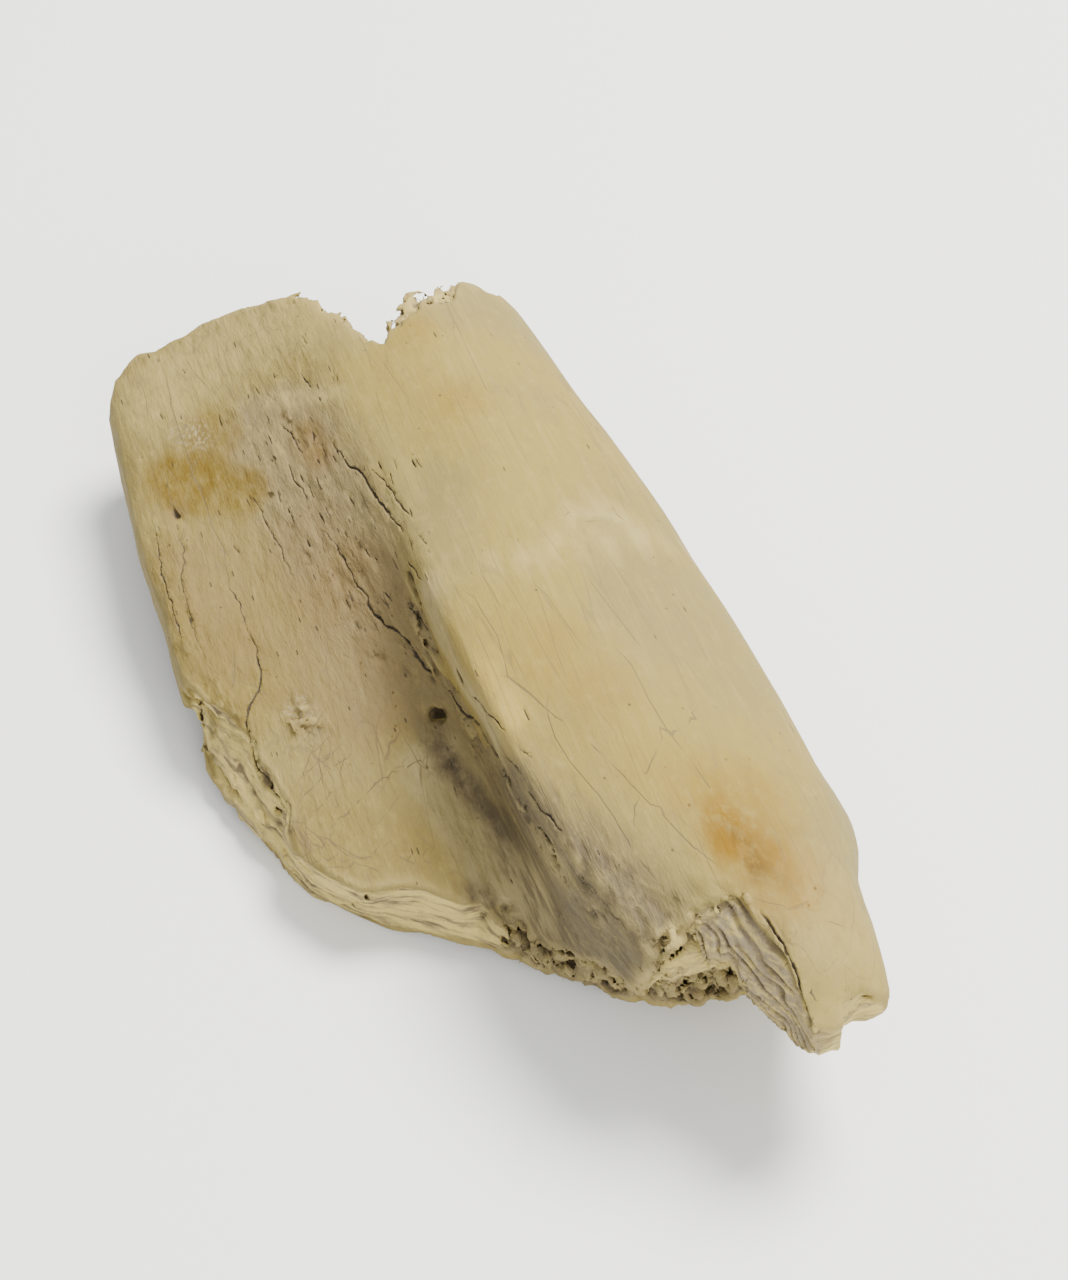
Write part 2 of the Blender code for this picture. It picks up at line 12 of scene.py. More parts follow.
import functools
import math
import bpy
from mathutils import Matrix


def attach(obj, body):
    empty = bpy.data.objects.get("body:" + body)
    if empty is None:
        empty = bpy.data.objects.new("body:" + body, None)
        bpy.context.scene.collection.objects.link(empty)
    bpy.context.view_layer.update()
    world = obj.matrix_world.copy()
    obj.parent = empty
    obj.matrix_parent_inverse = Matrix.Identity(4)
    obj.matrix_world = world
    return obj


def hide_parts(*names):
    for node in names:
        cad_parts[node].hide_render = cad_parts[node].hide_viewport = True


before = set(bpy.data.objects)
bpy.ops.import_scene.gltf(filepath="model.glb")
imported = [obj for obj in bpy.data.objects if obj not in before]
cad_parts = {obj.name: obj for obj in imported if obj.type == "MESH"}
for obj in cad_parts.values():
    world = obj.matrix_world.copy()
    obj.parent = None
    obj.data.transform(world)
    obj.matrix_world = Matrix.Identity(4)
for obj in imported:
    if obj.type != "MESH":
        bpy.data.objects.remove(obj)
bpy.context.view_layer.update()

from types import SimpleNamespace

import bmesh
import bpy
import numpy as np
from mathutils import Vector
from mathutils.bvhtree import BVHTree

MM = 0.001
F32 = np.float32

# The middle of the bone's footprint, which is the frame's origin.
FOOTPRINT_MIDDLE = np.array([-16.6, -15.45, 0.0])

# Camera, in the design axes, and the picture that its pixel coordinates belong to.
PICTURE = (1068, 1280)
CAMERA_PLACE = np.array([-76.5, -223.1, 251.5])
CAMERA_HEADING = math.radians(19.0)     # from +Y towards +X
CAMERA_PITCH = math.radians(46.6)       # below the horizon
LENS = 61.2
SENSOR = 36.0
MISSED_REACHES = np.arange(0.24, 0.42, 0.004)   # metres along a ray that misses, to look beside it
PATH_PIXELS = 6         # spacing of the points that are looked up along a path of pixels
PATH_SLACK = 1.0        # how far above or below a point the path may lie and still be beside it
FAR_OFF = 9.0           # a distance that stands for none, in millimetres

# Twelve points of the cross-section at stations along Y: (y, (x, z) of ...)
#   plate: left foot, left side, left lip, top; groove foot; ridge: crest, top, right shoulder,
#   right side, right underside; keel under the ridge; belly under the plate.
STATIONS = [
    (-96, (-30, 8), (-30, 10), (-29, 12), (-22, 13), (-15, 15), (-8, 20),
     (4, 25.5), (12, 24.5), (15.5, 20.5), (12, 17), (0, 15), (-15, 10)),
    (-90, (-32, 6), (-33, 9), (-32, 12), (-24, 12), (-16, 14), (-9, 26),
     (3, 32), (13, 30), (15.8, 24.5), (12.5, 17), (0, 13.5), (-16, 8)),
    (-84, (-35, 5), (-36, 8), (-35, 12), (-26, 12), (-16, 13), (-11, 29),
     (2, 35), (14, 32), (16.8, 25), (13.4, 15), (0, 12), (-17, 7)),
    (-77, (-40, 3), (-41, 7), (-40, 11), (-28, 11), (-16, 12), (-13, 30.5),
     (1, 36.8), (14.6, 33.5), (18.0, 25), (14.8, 11), (1, 8), (-19, 5)),
    (-69, (-46, 1), (-47, 6), (-46, 10.5), (-31, 11), (-17.5, 11.5), (-15.5, 31.5),
     (0, 37.8), (16, 34), (21.8, 24), (17.5, 7), (3, 5), (-21, 4)),
    (-57, (-50, 0.4), (-51, 5), (-50, 10), (-35, 11), (-18.5, 11.5), (-17.3, 32.5),
     (-2, 38.3), (16, 34), (22.2, 22), (18, 4.5), (5, 1.4), (-23, 3)),
    (-45, (-49, -0.9), (-53, 5), (-52, 10), (-36, 12), (-19, 12.5), (-18.2, 33.5),
     (-3, 38.7), (16, 34), (22.3, 21.5), (18, 3.2), (6, -0.5), (-24, 2.5)),
    (-30, (-50, -0.7), (-54, 5.5), (-53, 11), (-37, 13), (-20.3, 14.5), (-19, 34),
     (-4, 39), (16, 34), (22.3, 21), (18, 3.2), (7, 0.3), (-25, 3.2)),
    (-15, (-54, 3), (-55, 8), (-54, 13), (-38, 15.5), (-24, 19), (-19.4, 33.7),
     (-4, 39), (15.6, 34), (21.4, 21), (17.6, 3.4), (7, 1.2), (-26, 7)),
    (0, (-54.5, 6), (-55.5, 11), (-54.5, 16), (-40, 18), (-27, 23.5), (-19, 33.5),
     (-4, 39), (15.2, 33.5), (20.4, 20.5), (17, 3.4), (7, 1.4), (-27, 10)),
    (15, (-54.5, 9), (-55.5, 13.5), (-54.5, 18), (-40, 20.5), (-29, 25.5), (-19, 33.5),
     (-4, 38.7), (14.0, 33), (18.8, 20.5), (15.4, 3), (7, 0.5), (-28, 12)),
    (30, (-54.5, 11), (-55.5, 15.5), (-54.5, 20), (-40, 22.5), (-30, 26.5), (-19, 33),
     (-4, 38.2), (13.2, 32), (17.6, 20), (14.2, 2.6), (6, -0.5), (-28, 14)),
    (45, (-54, 13), (-55, 17), (-53.5, 21), (-40, 24), (-30, 27.5), (-19, 33),
     (-4, 37.5), (12.2, 31), (16.0, 20), (13, 3), (5, 0.6), (-28, 15)),
    (60, (-52.5, 14), (-53.5, 18), (-52, 22), (-39, 25), (-30, 28), (-19, 32),
     (-4, 36.5), (11.4, 30), (14.8, 20), (12, 4), (4, 2), (-28, 16)),
    (76, (-50, 15), (-51, 18.5), (-49, 22), (-38, 25), (-30, 28), (-19, 31),
     (-4, 35.5), (12, 29), (16, 20), (13, 5), (4, 3), (-28, 16)),
]
POINTS_PER_SPAN = 9
CREST = 5               # which section point is the crest
# The crest gets sharp between the first two y and blunt again between the other two. Where it is sharp it
# moves along X and Z. A shoulder is added beside it: its share of the way to the top, how far it stands
# out, and how much more it does where the crest is sharp.
CREST_SHARPENS, CREST_BLUNTS = (8.0, -8.0), (-62.0, -76.0)
CREST_SHIFT = np.array([-0.9, 0.9])
SHOULDER_PLACE = 0.22
SHOULDER_HEIGHT, MORE_SHOULDER_HEIGHT = 0.35, 0.5

# Plan outline of what is left of the bone, clockwise from the far left corner. Each point has its
# place low on the broken face and at the face's lip: (foot x, foot y, lip x, lip y).
FAR_EDGE = [
    (-52.5, 57.0, -53.5, 56.5), (-51.0, 59.0, -51.5, 60.0), (-49.0, 61.5, -49.6, 61.4),
    (-46.5, 61.6, -47.2, 63.4), (-44.0, 62.0, -44.2, 62.8), (-41.5, 61.4, -41.6, 63.9),
    (-38.0, 62.6, -38.7, 63.5), (-35.5, 62.6, -36.0, 65.0), (-32.0, 63.2, -32.8, 64.4),
    (-29.0, 62.0, -29.8, 64.6), (-26.5, 62.2, -26.6, 63.0), (-23.0, 60.2, -23.2, 62.4),
    (-19.8, 58.6, -19.4, 60.6), (-18.0, 54.0, -17.6, 56.4), (-16.4, 50.0, -16.0, 50.8),
    (-15.4, 46.0, -14.7, 46.4), (-14.2, 42.2, -13.7, 41.0), (-12.4, 39.8, -12.2, 38.0),
    (-10.4, 39.2, -10.6, 39.2), (-8.6, 41.4, -8.6, 40.4), (-6.6, 42.6, -7.0, 42.4),
    (-4.6, 42.2, -5.0, 42.6), (-3.0, 44.0, -3.4, 45.6), (-1.2, 43.4, -1.4, 43.6),
    (0.8, 44.0, 0.8, 43.8), (2.6, 46.2, 3.0, 47.6), (4.6, 46.8, 4.8, 50.2),
    (6.8, 46.4, 6.8, 51.2), (8.6, 46.0, 8.8, 49.8), (10.8, 45.4, 11.0, 50.2),
    (13.2, 45.6, 13.2, 49.6), (16.0, 45.4, 16.2, 48.8), (19.0, 45.0, 19.0, 47.6),
    (26.0, 44.0, 26.0, 45.0),
]
RIGHT_SIDE = [(30.0, 0.0, 30.0, 0.0), (30.0, -60.0, 30.0, -60.0), (28.0, -78.5, 28.0, -82.0)]
SPUR = [
    (20.0, -79.4, 20.0, -86.0), (17.5, -80.0, 17.1, -89.2), (15.0, -79.0, 15.4, -92.2),
    (13.4, -78.8, 13.6, -93.0), (11.8, -79.6, 12.1, -92.9), (10.4, -80.0, 10.8, -92.5),
    (9.4, -79.4, 9.2, -92.9), (8.0, -78.8, 7.2, -93.3), (7.4, -78.2, 5.0, -92.7),
    (6.8, -77.8, 3.8, -91.0), (6.4, -77.6, 3.2, -89.6), (5.8, -77.3, 2.6, -87.4),
    (5.2, -77.1, 1.2, -84.2), (4.2, -76.8, 0.6, -81.6),
]
FLANK_BREAK = [
    (2.6, -76.2, 0.4, -79.6), (0.8, -75.9, -0.6, -79.2), (-1.0, -75.4, -2.4, -79.4),
    (-2.6, -75.0, -4.6, -78.6), (-4.4, -74.4, -6.8, -79.4), (-6.0, -73.6, -9.0, -79.4),
    (-7.4, -72.6, -10.2, -79.0), (-8.8, -71.6, -11.8, -80.6), (-10.2, -70.4, -13.2, -80.2),
    (-11.6, -69.2, -14.3, -77.9),
]
NEAR_EDGE = [
    (-13.6, -67.6, -15.9, -73.4), (-15.2, -66.2, -16.7, -68.0), (-17.4, -63.8, -18.0, -64.4),
    (-19.4, -61.6, -19.2, -62.2), (-21.2, -59.4, -20.6, -58.8), (-23.0, -57.2, -22.4, -56.0),
    (-24.6, -55.8, -24.0, -55.4), (-26.6, -54.0, -24.4, -51.2), (-29.0, -51.8, -27.6, -51.2),
    (-31.6, -49.4, -29.8, -49.4), (-34.4, -47.0, -32.6, -47.2), (-37.2, -44.4, -36.4, -46.2),
    (-40.0, -42.0, -40.4, -45.4), (-43.2, -38.8, -43.0, -42.6),
]
NEAR_CORNER = [(-45.6, -36.2, -45.8, -38.8), (-47.2, -33.4, -47.4, -35.2)]
SPLINTERED_SIDE = [
    (-48.3, -30.6, -47.6, -32.2), (-48.6, -28.2, -46.5, -29.6), (-49.6, -26.6, -46.3, -27.4),
    (-51.2, -22.8, -47.4, -22.6), (-52.2, -20.0, -48.5, -19.6), (-53.6, -16.4, -48.3, -17.2),
    (-55.0, -12.4, -49.0, -14.6), (-55.3, -9.2, -50.5, -11.4), (-54.4, -4.6, -52.8, -7.6),
    (-54.2, -1.0, -53.8, -5.0),
]
LEFT_SIDE = [(-62.0, 3.0, -62.0, 3.0), (-62.0, 50.0, -62.0, 50.0)]
# The heights between which each stretch's broken face goes over from its foot to its lip.
FACES = [
    (FAR_EDGE, 10.0, 24.0), (RIGHT_SIDE, 5.0, 16.0), (SPUR, 10.5, 22.5), (FLANK_BREAK, 16.0, 21.0),
    (NEAR_EDGE[:1], 14.0, 20.0), (NEAR_EDGE[1:3], 9.0, 14.0), (NEAR_EDGE[3:], 1.0, 11.0),
    (NEAR_CORNER, 1.0, 9.0), (SPLINTERED_SIDE, 5.0, 12.5), (LEFT_SIDE, 5.0, 12.0),
]
OUTLINE_STEP = 1.0

# Pits and hollows: centre, half sizes along X, Y and Z, turn about Z in degrees, roughness.
HOLLOWS = [
    ((8.0, -86.5, 8.5), (7.0, 9.0, 5.5), 0.0, 0.8),
    ((-53.6, -15.0, 5.6), (2.0, 7.0, 0.9), 12.0, 0.4),
    ((-53.4, -7.0, 11.4), (2.2, 6.0, 0.9), 6.0, 0.4),
    ((-35.0, -47.6, 8.0), (4.5, 1.2, 0.8), -35.0, 0.4),
    ((-40.4, -15.8, 16.2), (2.6, 4.0, 0.9), 20.0, 0.4),
]
# Gaps between layers and crumbs: pixel path and half width.
CREVICES = [
    ([(474, 897), (490, 903), (504, 914), (520, 930), (530, 944)], 1.1),
    ([(528, 938), (524, 950), (516, 960)], 0.5),
    ([(246, 730), (255, 752), (266, 778), (277, 802), (285, 827)], 0.45), ([(200, 698), (202, 724)], 0.6),
    ([(345, 906), (366, 896), (400, 890), (438, 894)], 0.35), ([(594, 986), (612, 988)], 0.6),
    ([(535, 940), (560, 958), (584, 966), (604, 978), (628, 986)], 0.7),
    ([(222, 760), (236, 790), (252, 815)], 0.35), ([(212, 742), (214, 770), (228, 800)], 0.35),
    ([(690, 975), (712, 988), (735, 1002)], 0.5), ([(684, 955), (700, 966), (716, 984)], 0.5),
    ([(232, 745), (244, 775), (262, 806), (272, 830)], 0.35),
    ([(640, 990), (665, 1000), (690, 1004)], 0.4), ([(260, 766), (273, 790), (282, 812), (284, 832)], 0.8),
]
CREVICE_DRIFT = 0.5     # how far a crevice wanders from its path

# The recess under the ridge's rim at the near end: how far back its inside has gone, by x.
RECESS_BACK = [(-16.0, -73.0), (-9.5, -74.5), (-8.0, -73.5), (-6.0, -70.5), (4.0, -71.0)]
RIM_THICKNESS = 2.2
RECESS_FLOOR = 4.8
# How far the spongy core stands out of the far end beyond the skin's edge, by x.
FAR_CORE = [(-12.0, -3.0), (-10.6, 0.5), (-9.2, 3.6), (-6.0, 3.8), (-3.6, 3.4), (-2.0, 6.0), (-0.6, 7.2),
            (0.6, 6.0), (1.6, 3.0), (2.8, 2.0), (3.6, 2.6), (4.6, 1.5), (6.0, -3.0)]
STRUTS = [
    ((-8.6, -77.0, 27.0), (-7.4, -75.0, 17.0), (-5.8, -72.4, 6.5), 1.1),
    ((-6.5, -73.5, 19.0), (-3.0, -73.5, 13.5), (2.0, -74.0, 7.5), 0.7),
    ((-5.0, -72.5, 14.0), (-1.0, -72.8, 10.0), (3.5, -73.6, 6.5), 0.6),
]
SPONGE_HOLES = [
    ((-21.6, -59.6, 7.6), 1.9), ((-19.4, -62.6, 4.6), 1.5), ((-18.0, -65.0, 8.4), 2.0),
    ((-15.8, -67.2, 5.2), 1.6), ((-13.4, -70.0, 6.4), 1.7), ((-10.2, -71.6, 5.4), 1.3),
    ((-6.4, -75.0, 9.6), 1.4),
    ((11.0, 45.6, 22.0), 2.0), ((6.0, 46.8, 15.0), 2.2), ((0.6, 44.4, 24.0), 2.1),
    ((-4.0, 42.8, 17.0), 2.4), ((1.8, 45.0, 9.4), 1.9), ((-9.4, 40.2, 24.4), 1.9),
    ((12.4, 44.6, 13.0), 1.8), ((-28.0, 62.4, 21.6), 1.8), ((-36.0, 63.4, 19.8), 1.5),
]
SPONGE_LUMPS = [
    ((-4.6, 43.6, 25.0), 2.4), ((4.4, 46.0, 22.0), 2.6), ((-8.6, 42.0, 18.6), 2.3),
    ((8.8, -91.6, 24.4), 2.3), ((11.6, -91.0, 23.6), 2.0),
]

# The nutrient foramen in the groove: its mouth, the way it goes in, radius and depth.
FORAMEN_MOUTH = (-23.4, -23.4, 17.2)
FORAMEN_WAY = (0.72, 0.52, -0.46)
FORAMEN_RADIUS = 1.05
FORAMEN_HALF_WIDTH = 0.85       # between its two overlapping bores
FORAMEN_DEPTH = 7.0

# Small pits: pixel, half sizes along X, Y and Z.
PITS = [
    ((357, 626), (0.6, 1.0, 0.5)), ((359, 546), (0.5, 1.0, 0.5)), ((330, 512), (0.5, 1.0, 0.5)),
    ((368, 516), (0.5, 0.7, 0.5)), ((411, 605), (0.6, 0.9, 0.6)), ((177, 515), (0.7, 1.2, 0.45)),
    ((428, 668), (0.7, 1.8, 0.7)), ((432, 682), (0.7, 1.4, 0.7)), ((464, 675), (0.8, 2.3, 0.8)),
    ((864, 993), (0.8, 0.8, 0.4)), ((600, 517), (2.6, 0.5, 0.45)), ((573, 513), (1.2, 0.4, 0.4)),
    ((621, 519), (0.9, 0.5, 0.4)), ((502, 905), (1.2, 1.2, 1.4)), ((516, 922), (1.2, 1.4, 1.6)),
]
# Small lumps and chips that stand out: pixel and size.
CHIPS = [
    ((672, 933), 0.8), ((680, 940), 0.8), ((672, 945), 0.7), ((688, 930), 0.6), ((664, 952), 0.6),
    ((676, 960), 0.6), ((556, 911), 0.6), ((563, 919), 0.7), ((745, 897), 0.6), ((731, 903), 0.5),
    ((716, 912), 0.5), ((700, 921), 0.5), ((519, 935), 1.0), ((534, 947), 1.0), ((546, 962), 0.9),
    ((303, 712), 1.6), ((312, 722), 1.3), ((296, 727), 1.2),
]

# Where the surface has weathered into flakes along the fibres: pixel path, inner and outer reach, height.
FLAKY = [
    ([(275, 430), (305, 480), (340, 540), (380, 600), (410, 650)], 4.0, 11.0, 0.26),
    ([(412, 590), (428, 640), (448, 690), (485, 745), (527, 812), (560, 868)], 1.8, 3.6, 0.95),
    ([(196, 700), (222, 765), (262, 825)], 3.0, 6.5, 0.6),
    ([(292, 705), (318, 732)], 1.0, 2.6, 0.55),
    ([(122, 372), (200, 332), (300, 297)], 0.6, 2.2, 0.4),
    ([(165, 520), (190, 640)], 2.0, 5.0, 0.3),
    ([(570, 870), (600, 915), (640, 955)], 3.0, 8.0, 0.36), ([(600, 900), (690, 900)], 1.0, 4.0, 0.3),
]
FLAKE_SIZE = (1.3, 7.0, 1.8)
FLAKE_SEED = 9
FLAKE_BEND = 0.8
FLAKE_BEND_SIZE = (3.0, 9.0, 3.0)
FLAKE_BEND_SEED = 31

# The fibrous wall on the spur's left: at each y, its upper and lower edge as (y, x, z, x, z).
WALL = np.array([
    (-72.0, 0.6, 36.0, -7.6, 31.0), (-76.0, 0.4, 36.0, -7.2, 31.0), (-79.0, 0.2, 35.8, -6.4, 29.5),
    (-82.0, 1.4, 35.5, -5.3, 27.0), (-85.5, 1.9, 34.6, -3.0, 24.5), (-88.2, 2.4, 33.0, -0.4, 22.8),
    (-90.8, 2.8, 31.0, 2.2, 20.4), (-93.0, 3.2, 28.4, 3.6, 17.5), (-97.0, 3.8, 25.0, 5.0, 15.0),
])
WALL_HEIGHT = 10.0
RIB_SPACING = 0.95
RIB_DEPTH = 0.7
RIB_GRAIN = 0.15        # height of the grain along the ribs

# Open cracks and flaked slits as pixel paths, with half widths.
OPEN_CRACKS = [
    ([(298, 371), (305, 379), (312, 387)], 0.12),
    ([(300, 334), (307, 343)], 0.09),
    ([(280, 425), (296, 441), (305, 455)], 0.12),
    ([(287, 464), (295, 480), (307, 500)], 0.12),
    ([(332, 444), (346, 462), (364, 478), (377, 498), (389, 516), (404, 534)], 0.17),
    ([(370, 469), (389, 487), (400, 505), (409, 516)], 0.12),
    ([(418, 534), (427, 544)], 0.12),
    ([(407, 559), (423, 580)], 0.15),
    ([(321, 530), (336, 546), (350, 573), (364, 594), (373, 612)], 0.12),
    ([(364, 594), (373, 612), (386, 625), (404, 637), (416, 657), (432, 676)], 0.26),
    ([(407, 605), (420, 618), (429, 632)], 0.15),
    ([(248, 491), (261, 512), (266, 526), (279, 544), (288, 569), (293, 576)], 0.11),
    ([(440, 680), (455, 700), (466, 715), (480, 725), (487, 740), (500, 760), (510, 785)], 0.20),
    ([(472, 695), (487, 712), (505, 730)], 0.14),
    ([(505, 756), (521, 771)], 0.12),
    ([(519, 747), (531, 760)], 0.10),
    ([(527, 791), (542, 810), (552, 820), (561, 832)], 0.14),
    ([(530, 817), (542, 832), (557, 852)], 0.13),
    ([(470, 735), (484, 757), (494, 778)], 0.10),
    ([(560, 850), (575, 872), (596, 897)], 0.08),
    ([(585, 880), (606, 905), (630, 936)], 0.07),
    ([(247, 627), (257, 653), (260, 683), (252, 703), (245, 723), (252, 743), (255, 763), (268, 780),
      (277, 795), (286, 808)], 0.17),
    ([(227, 576), (238, 598), (247, 627)], 0.11),
    ([(155, 523), (159, 559), (164, 587), (175, 616), (182, 641)], 0.12),
    ([(177, 530), (184, 555), (181, 584), (189, 609), (194, 634), (200, 651)], 0.10),
    ([(200, 697), (201, 712), (204, 726)], 0.26),
    ([(758, 912), (770, 926), (782, 943), (794, 964), (800, 987), (804, 1006), (808, 1020)], 0.24),
]
OPEN_CRACK_DRIFT = 0.45         # how far an open crack wanders from its path
CRACK_STEEPNESS = 3.4           # how deep the surface goes down in a crack, over how far it is from its edge
LIP_HEIGHT = 0.5                # in half widths of the crack
LIP_REACH = 0.9
CRACK_REACH = 0.75              # how far from a crack its signed distance is kept
WANDER_SIZE = 2.6               # width of the bends in a wandering path, and of the smaller ones on it
SMALL_WANDER_SIZE = 0.9
SMALL_WANDER = 0.35             # height of the smaller bends over that of the large ones

# Slits scattered along the fibres: boxes of pixels (left, top, right, low) and how many in each.
SLIT_BOXES = [
    ((255, 370, 350, 520), 18), ((300, 430, 430, 560), 24), ((330, 540, 430, 660), 14),
    ((150, 330, 260, 560), 10), ((440, 680, 540, 800), 5),
]
# Slits on the right side and underneath: the way one looks at them, where these looks start along X and Z,
# how far the starts are spread, and how many there are.
UNSEEN_SLITS = [
    ((-1.0, 0.0, 0.0), (60.0, 6.0), (0.0, 22.0), 10),
    ((0.0, 0.0, 1.0), (-50.0, -20.0), (68.0, 0.0), 16),
]
UNSEEN_SLIT_Y = (-78.0, 42.0)
SLIT_HALF_LENGTHS = (0.4, 1.5)
SLIT_HALF_WIDTHS = (0.06, 0.13)
SLIT_TURN = 0.07                # spread of the slits' directions about +Y, in radians
SLIT_DRIFT = 0.15

# Hairline cracks: pixel path and how dark it is. Lines that cross are kept in different channels.
HAIRLINES = [
    [   # channel 1
        ([(456, 583), (477, 604), (497, 633), (506, 672), (515, 690), (541, 702), (559, 720), (581, 735),
          (599, 754), (620, 772), (641, 795), (663, 819), (684, 840), (706, 856), (734, 883),
          (741, 892)], 0.9),
        ([(588, 576), (599, 594), (613, 611), (631, 633), (640, 652)], 0.6),
        ([(670, 597), (691, 629), (706, 658), (724, 686)], 0.4),
        ([(164, 366), (170, 401), (180, 434), (196, 480), (204, 498), (211, 526), (223, 544),
          (227, 576)], 1.0),
        ([(375, 351), (396, 384), (414, 405), (429, 419)], 0.5),
        ([(443, 298), (457, 326), (475, 366), (492, 400)], 0.6),
        ([(325, 840), (340, 817), (360, 800), (380, 780), (407, 767), (433, 753)], 0.9),
        ([(325, 840), (313, 850), (297, 860)], 0.9),
        ([(792, 937), (809, 928), (828, 923), (844, 927)], 0.8),
    ],
    [   # channel 2
        ([(543, 686), (545, 697), (549, 719), (556, 740), (566, 758), (581, 772), (595, 790), (609, 811),
          (624, 833), (634, 854), (649, 872), (666, 894)], 0.9),
        ([(606, 636), (620, 654), (638, 669), (641, 686), (656, 715), (674, 740), (691, 761), (706, 783),
          (724, 804), (734, 819)], 0.8),
        ([(527, 576), (545, 594), (563, 619), (581, 644), (599, 665)], 0.55),
        ([(325, 840), (340, 850), (353, 860), (380, 850), (393, 840)], 0.9),
        ([(325, 840), (310, 830), (293, 828)], 0.9),
        ([(290, 790), (307, 773), (320, 760), (347, 743)], 0.7),
        ([(748, 895), (771, 905), (798, 906), (815, 898)], 0.5),
        ([(140, 372), (146, 400), (150, 430)], 0.6),
        ([(205, 335), (222, 372), (240, 402), (252, 430)], 0.5),
        ([(393, 863), (420, 860), (437, 857)], 0.6),
    ],
    [   # channel 3
        ([(727, 690), (706, 701), (684, 719), (666, 733), (656, 747), (649, 769), (638, 790), (634, 811),
          (631, 836)], 0.9),
        ([(474, 676), (506, 677), (534, 672)], 0.6),
        ([(297, 802), (313, 787), (330, 770), (360, 747)], 0.8),
        ([(320, 870), (347, 865), (370, 867), (387, 877)], 0.9),
        ([(440, 838), (457, 832), (473, 830)], 0.6),
        ([(500, 330), (530, 375), (556, 420), (580, 462)], 0.4),
        ([(231, 330), (251, 365), (268, 392)], 0.6),
        ([(163, 470), (172, 500), (176, 520)], 0.7),
        ([(640, 560), (668, 600), (690, 640)], 0.35),
    ],
    [   # channel 4
        ([(287, 820), (318, 836), (345, 850), (385, 868)], 0.8), ([(326, 790), (318, 765), (322, 742)], 0.7),
        ([(280, 762), (300, 745), (318, 722), (332, 700)], 0.6), ([(347, 800), (339, 775), (346, 750)], 0.6),
        ([(368, 832), (386, 812), (402, 790)], 0.5), ([(232, 640), (236, 668), (233, 690)], 0.7),
        ([(700, 560), (726, 610), (745, 650)], 0.4), ([(520, 500), (545, 535), (566, 566)], 0.4),
    ],
    [   # channel 5
        ([(296, 838), (316, 832), (336, 822), (353, 806)], 0.8), ([(300, 782), (310, 757), (330, 735)], 0.7),
        ([(372, 800), (390, 775), (412, 752)], 0.5), ([(306, 866), (330, 858), (352, 862)], 0.6),
        ([(470, 560), (500, 600), (520, 632)], 0.5), ([(580, 690), (606, 720), (622, 744)], 0.5),
        ([(276, 705), (262, 690), (238, 680)], 0.6),
    ],
    [   # channel 6
        ([(295, 823), (313, 813), (327, 797), (353, 777)], 0.8),
        ([(290, 793), (288, 820)], 0.6),
        ([(189, 473), (204, 491)], 0.8),
        ([(229, 516), (241, 530)], 0.8),
        ([(560, 780), (585, 815), (604, 850), (628, 886)], 0.5),
        ([(640, 760), (668, 800), (700, 838)], 0.4),
        ([(560, 514), (575, 511), (592, 513), (608, 512), (626, 520)], 0.9),
        ([(180, 350), (196, 375), (214, 398)], 0.6),
        ([(452, 388), (470, 430), (500, 470)], 0.4),
        ([(340, 850), (343, 868)], 0.7),
    ],
]
HAIRLINE_DRIFT = 0.25           # how far a hairline wanders from its path
HAIRLINE_BENDS = 2.2            # width of the bends in a hairline
HAIRLINE_REACH = 1.4            # how far from a line its signed distance is kept

# Soft patches of colour: pixel path (or one pixel), inner and outer reach, strength.
ORANGE = [
    ([(722, 822), (732, 842)], 1.6, 4.0, 1.0), ([(744, 826), (757, 852)], 1.4, 3.6, 0.95),
    ([(776, 862), (790, 876), (800, 894)], 1.6, 3.8, 1.0),
    ([(730, 800), (748, 830), (790, 880)], 3.5, 8.5, 0.55), ([(756, 785)], 2.5, 7.0, 0.3),
    ([(690, 775), (760, 790)], 2.5, 7.5, 0.25), ([(600, 695)], 2.0, 8.5, 0.32),
    ([(540, 650)], 3.0, 10.0, 0.25), ([(461, 398)], 1.5, 6.5, 0.35), ([(413, 330)], 2.0, 6.0, 0.25),
    ([(640, 760)], 2.0, 8.0, 0.18), ([(820, 880), (835, 910)], 2.0, 6.0, 0.2),
]
ORANGE_HEART = [
    ([(757, 868)], 0.6, 2.2, 1.0), ([(742, 848)], 0.3, 1.8, 0.7), ([(770, 876)], 0.3, 1.8, 0.8),
    ([(728, 838)], 0.2, 2.2, 0.45), ([(792, 884)], 0.2, 2.4, 0.5),
]
OCHRE = [
    ([(182, 478), (196, 486)], 4.0, 8.0, 1.0), ([(207, 425), (222, 440)], 1.5, 5.5, 0.6),
    ([(240, 490)], 2.5, 7.0, 0.85),
    ([(304, 432), (318, 454)], 0.9, 3.2, 0.85), ([(330, 600), (345, 570)], 2.0, 6.0, 0.35),
    ([(160, 560), (175, 640)], 2.0, 7.0, 0.3), ([(215, 690), (240, 800)], 3.0, 8.0, 0.35),
    ([(300, 830), (385, 852)], 4.0, 11.0, 0.32), ([(225, 640), (250, 700)], 3.0, 8.0, 0.4),
]
BROWN = [
    ([(308, 436), (322, 458)], 1.0, 4.5, 0.9), ([(270, 405), (300, 412)], 1.0, 5.0, 0.35),
    ([(350, 566), (388, 592)], 2.5, 8.0, 0.5), ([(177, 513)], 0.6, 2.2, 0.9), ([(310, 600)], 4.0, 12.0, 0.35),
    ([(405, 716)], 1.0, 4.0, 0.45), ([(300, 560), (335, 640), (350, 705)], 5.0, 13.0, 0.6),
    ([(215, 560), (240, 640)], 4.0, 10.0, 0.5),
]
